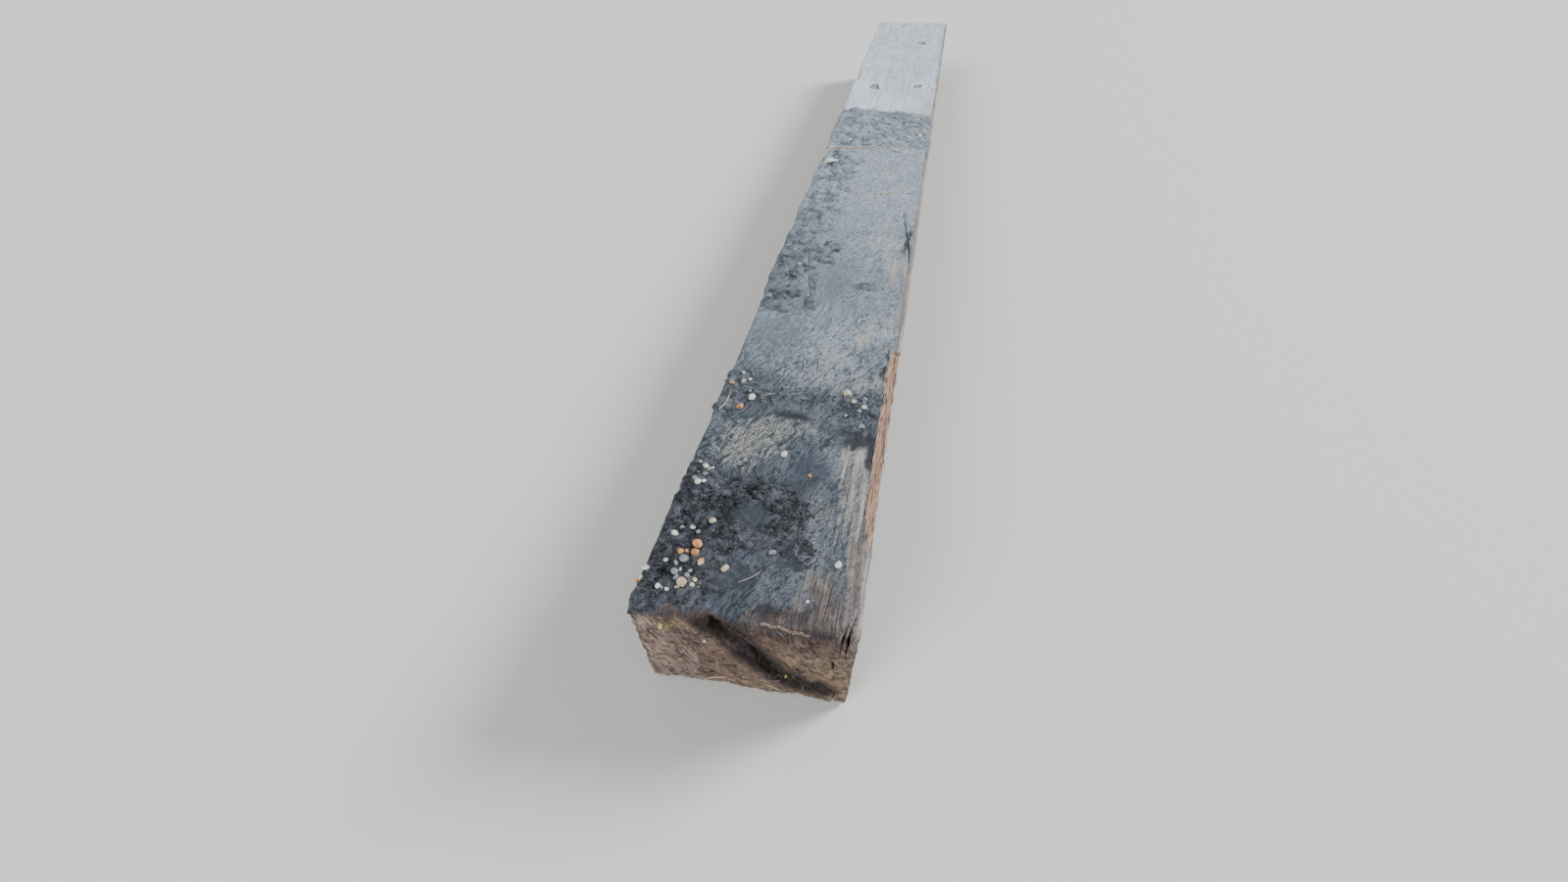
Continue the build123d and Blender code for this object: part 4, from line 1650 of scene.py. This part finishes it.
# %% [markdown]
# ## Roots, straws and twigs
# Fine roots have grown through the rotten wood and hang out of its upper edge, and straws and twigs
# have stuck in the mud. Each is a thread that creeps over the surface: it starts at a place, takes
# short steps, wanders a little at each and is set down on what is under it. A NURBS curve joins the
# places and a bevel gives it thickness. Converting it to a mesh closes it. A hair system would be
# quicker, but it doesn't keep to the surface.


# %% A thread
def thread(name, places, thickness, taper=0.5, round_steps=0):
    """A closed thread through places, thinner towards its ends."""
    nothing()
    bpy.ops.curve.primitive_nurbs_path_add(location=(0.0, 0.0, 0.0))
    curve = named(name).data
    curve.splines.clear()
    line = curve.splines.new("NURBS")
    line.points.add(len(places) - 1)
    for number, (point, place) in enumerate(zip(line.points, places)):
        point.co = (*place, 1.0)
        point.radius = 1.0 - taper * abs(2.0 * number / (len(places) - 1) - 1.0) ** 3
    line.use_endpoint_u = True
    line.order_u = 3
    curve.resolution_u = 2
    curve.bevel_depth = thickness * MM / 2
    curve.bevel_resolution = round_steps
    curve.use_fill_caps = True
    bpy.ops.object.convert(target="MESH")
    return bpy.context.object


def end_face(across, up):
    """The near end's surface, found by a ray shot into it."""
    hit = grounds[0].ray_cast(on_end(across, up, 120.0), Vector((0.0, 1.0, 0.0)))
    return hit[0], hit[1]


print("the near end is found at", [round(part, 4) for part in end_face(60, 150)[0]])

# %% Threads that creep
THREAD_STEPS = 6


def creep(start, heading, length, curl, lift, surface):
    """Places of a thread that creeps over a surface: on the top, or on the near end."""
    sideways, forwards = start
    places = []
    for number in range(THREAD_STEPS + 1):
        place, normal = surface(sideways, forwards)
        if place is None:
            break
        arch = math.sin(math.pi * number / THREAD_STEPS) * dice.uniform(0.3, 1.0)
        places.append(place + normal * (0.2 + lift * arch) * MM)
        heading += dice.uniform(-curl, curl)
        sideways += math.sin(heading) * length / THREAD_STEPS
        forwards += math.cos(heading) * length / THREAD_STEPS
    return places


def threads(name, starts, finish):
    """Threads from a list of thickness, start, heading, length, curl, lift and surface, as one piece."""
    made = []
    for thickness, *start in starts:
        places = creep(*start)
        if len(places) > 3:
            made.append(thread(name, places, thickness))
    return join(name, made, finish, 60.0)


print("a thread has", THREAD_STEPS, "steps")

# %% Roots at the decayed end
ROOTS_ABOVE = 40
ROOTS_ALONG = 40
dark_starts = []
for _ in range(ROOTS_ABOVE):
    across = dice.uniform(-66, 24)
    up = 217 - 0.6 * abs(across + 20) * dice.random() - dice.uniform(0, 14)
    heading = math.pi + dice.uniform(-1.3, 1.0)
    thickness = dice.uniform(0.4, 1.2)
    dark_starts.append((thickness, (across, up), heading, 8 + 38 * dice.random() ** 2, 0.8, 1.8, end_face))
for _ in range(ROOTS_ALONG):
    start, stop = dice.choice(list(zip(DECAY_RUN, DECAY_RUN[1:])))
    share = dice.random()
    across = start[0] + (stop[0] - start[0]) * share + dice.uniform(-14, 14)
    up = start[1] + (stop[1] - start[1]) * share + dice.uniform(-10, 10)
    heading = 2.2 + dice.uniform(-0.5, 0.5)
    dark_starts.append((0.9, (across, up), heading, dice.uniform(12, 44), 0.4, 3.0, end_face))
dark_roots = threads("dark_roots", dark_starts, stalk_finish("dark_root", (78, 66, 58), (38, 33, 31)))

# %% Pale roots and straws
NEAR_ROOTS = 54
FAR_ROOTS = 16
END_ROOTS = 22
pale_starts = []
for _ in range(NEAR_ROOTS):
    across, along = dice.uniform(-140, 120), dice.uniform(6, 500)
    if dice.random() < 0.4:
        across, along = dice.uniform(20, 110), dice.uniform(40, 240)
    heading, length = dice.uniform(0, 6.28), dice.uniform(5, 18)
    pale_starts.append((dice.uniform(0.3, 0.55), (across, along), heading, length, 0.4, 0.4, ground))
for _ in range(FAR_ROOTS):
    start = (dice.uniform(-145, 125), dice.uniform(560, 1840))
    heading, length = dice.uniform(0, 6.28), dice.uniform(10, 34)
    pale_starts.append((dice.uniform(0.6, 1.1), start, heading, length, 0.2, 0.4, ground))
for _ in range(END_ROOTS):
    start = (dice.uniform(-70, 90), dice.uniform(6, 110))
    heading, length = 2.1 + dice.uniform(-1.1, 1.1), dice.uniform(4, 24)
    pale_starts.append((0.6, start, heading, length, 0.3, 0.8, end_face))
pale_roots = threads("pale_roots", pale_starts, stalk_finish("pale_root", (180, 172, 156), (128, 118, 106)))

# %% Straws and twigs of chosen place
# Each is two ends, as across and from the near end, then how far it bows aside and its thickness.
STRAWS = (
    ((-78, 338), (-52, 350), 2, 1.2), ((-76, 420), (-55, 433), -2, 1.3),
    ((-150, 356), (-134, 421), 8, 2.0), ((-35, 1796), (32, 1748), 6, 3.2),
    ((-120, 1392), (-95, 1410), 2, 2.0), ((40, 215), (66, 208), 3, 0.9), ((-20, 60), (6, 84), 3, 1.0),
    ((-100, 600), (-70, 618), 3, 1.4), ((20, 1240), (76, 1262), 6, 2.6),
    ((-60, 1236), (60, 1246), 10, 1.8),
)
# Each is two places on the near end's face, then its bow and thickness.
END_STRAWS = (
    ((-74, 15), (-30, 42), 3, 1.5), ((72, 20), (92, 6), 2, 1.6), ((-44, 96), (-41, 82), 1, 1.6),
    ((20, 36), (60, 12), 4, 1.4),
)
LONG_TWIG = (
    (-150, 1412), (-146, 1444), (-144, 1476), (-134, 1500), (-110, 1516), (-78, 1521), (-44, 1528),
    (-12, 1536), (2, 1560), (12, 1582),
)


def laid(surface, start, stop, bow):
    """Places of a nearly straight stalk between two ends."""
    places = []
    for number in range(6):
        share = number / 5
        across = start[0] + (stop[0] - start[0]) * share + bow * math.sin(math.pi * share)
        place, normal = surface(across, start[1] + (stop[1] - start[1]) * share)
        places.append(place + normal * 0.6 * MM)
    return places


stalks = []
for surface, straws in ((ground, STRAWS), (end_face, END_STRAWS)):
    for start, stop, bow, thickness in straws:
        stalks.append(thread("stalks", laid(surface, start, stop, bow), thickness))
twig_places = [ground(*place)[0] + Vector((0.0, 0.0, 0.002)) for place in LONG_TWIG]
stalks.append(thread("stalks", twig_places, 5.2, 0.4, 1))
stalks = join("stalks", stalks, stalk_finish("dry_stalk", (204, 196, 174), (158, 144, 120)), 60.0)

# %% Strands that still bridge the far end of the scar
# Each place is across and from the near end. The strands lie lower inside the scar than past its end.
TWISTED = ((136, 470), (137, 500), (133, 528), (137, 556), (132, 580), (122, 600), (116, 612))
INSIDE, PAST = 213, 220

twists = []
for turn in (0.0, 2.1, 4.2):
    places = []
    for number, (across, along) in enumerate(TWISTED):
        swing = Vector((math.cos(turn + number * 1.3), 0.0, math.sin(turn + number * 1.3)))
        places.append(spot(across, along, INSIDE if number < 5 else PAST) + swing * 2.2 * MM)
    twists.append(thread("twisted_strand", places, 4.6, 0.7, 1))
twisted_strand = join("twisted_strand", twists, torn_fibres, 60.0)

# %% [markdown]
# ## Bits of leaf
# Two yellow-green scraps of leaf cling to the near end and a paler leaf lies further along the top. A
# leaf is a small grid whose width follows a sine from stalk to tip, folded a little along its middle
# rib and given a thin wall. The rib is a crease and not a line of colour, so it shows from any side.


# %% One leaf
def leaf(name, length, width, place, turn):
    """A folded leaf of so many millimetres."""
    nothing()
    bpy.ops.mesh.primitive_grid_add(x_subdivisions=6, y_subdivisions=9, size=1.0, location=(0.0, 0.0, 0.0))
    piece = named(name)
    for vertex in piece.data.vertices:
        share = min(max(vertex.co.y + 0.5, 0.0), 1.0)
        half = math.sin(math.pi * share ** 0.8) * (1.0 + 0.25 * noise.noise(vertex.co * 6.0))
        vertex.co = Vector((
            vertex.co.x * half * width * MM,
            vertex.co.y * length * MM,
            (abs(vertex.co.x) * half * 0.3 + 0.12 * math.sin(5.0 * share)) * width * MM,
        ))
    edit(piece)
    everything()
    bpy.ops.mesh.remove_doubles(threshold=0.00005)
    done()
    apply(piece, "SOLIDIFY", thickness=0.0003)
    piece.data.transform(Matrix.LocRotScale(place, Euler(turn), Vector((1.0, 1.0, 1.0))))
    return piece


# The scraps on the near end: across, up, length, roll.
SCRAPS = ((-111, 190, 16, 0.3), (-103, 187, 9, 2.4), (59, 84, 12, 1.2), (66, 80, 7, 0.4))

bits = []
for across, up, length, roll in SCRAPS:
    place, normal = end_face(across, up)
    turn = (1.25, 0.25, roll * 0.4)
    bits.append(leaf("leaf_bits", length, length * 0.36, place + normal * 1.5 * MM, turn))
yellow_leaf = dry_finish("yellow_leaf", (188, 188, 110), (160, 146, 86), 0.004, rough=0.65)
leaf_bits = join("leaf_bits", bits, yellow_leaf, 60.0)

# %% The pale leaf and a white fleck
place, normal = ground(-116, 1400)
pale_bits = [leaf("pale_leaf", 46, 20, place + normal * 5.0 * MM, (0.1, 0.2, -1.0))]
place, normal = end_face(-54, 162)
pale_bits.append(leaf("pale_leaf", 7, 4.5, place + normal * 1.5 * MM, (1.35, 0.2, 0.5)))
faded_leaf = dry_finish("pale_leaf", (198, 212, 196), (170, 188, 160), 0.004, rough=0.65)
pale_leaf = join("pale_leaf", pale_bits, faded_leaf, 60.0)

# %% [markdown]
# ## Last steps
# The masters were only moulds, so they go. Then each piece is told which part of the beam it belongs
# to, and the dressed beam takes the plain solid's place.

# %% Clearing the masters away
for master in crumb_masters + clod_masters + pebble_masters + stone_masters + sliver_masters:
    bpy.data.objects.remove(master)

# %% Riding and finishing
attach(hardwood, "root")
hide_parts("beam")
litter = (dark_roots, pale_roots, stalks, leaf_bits, pale_leaf)
for piece in (*crusts, soil_crumbs, *stones, torn_splinters, frayed_edge, twisted_strand, *litter):
    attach(piece, "root")
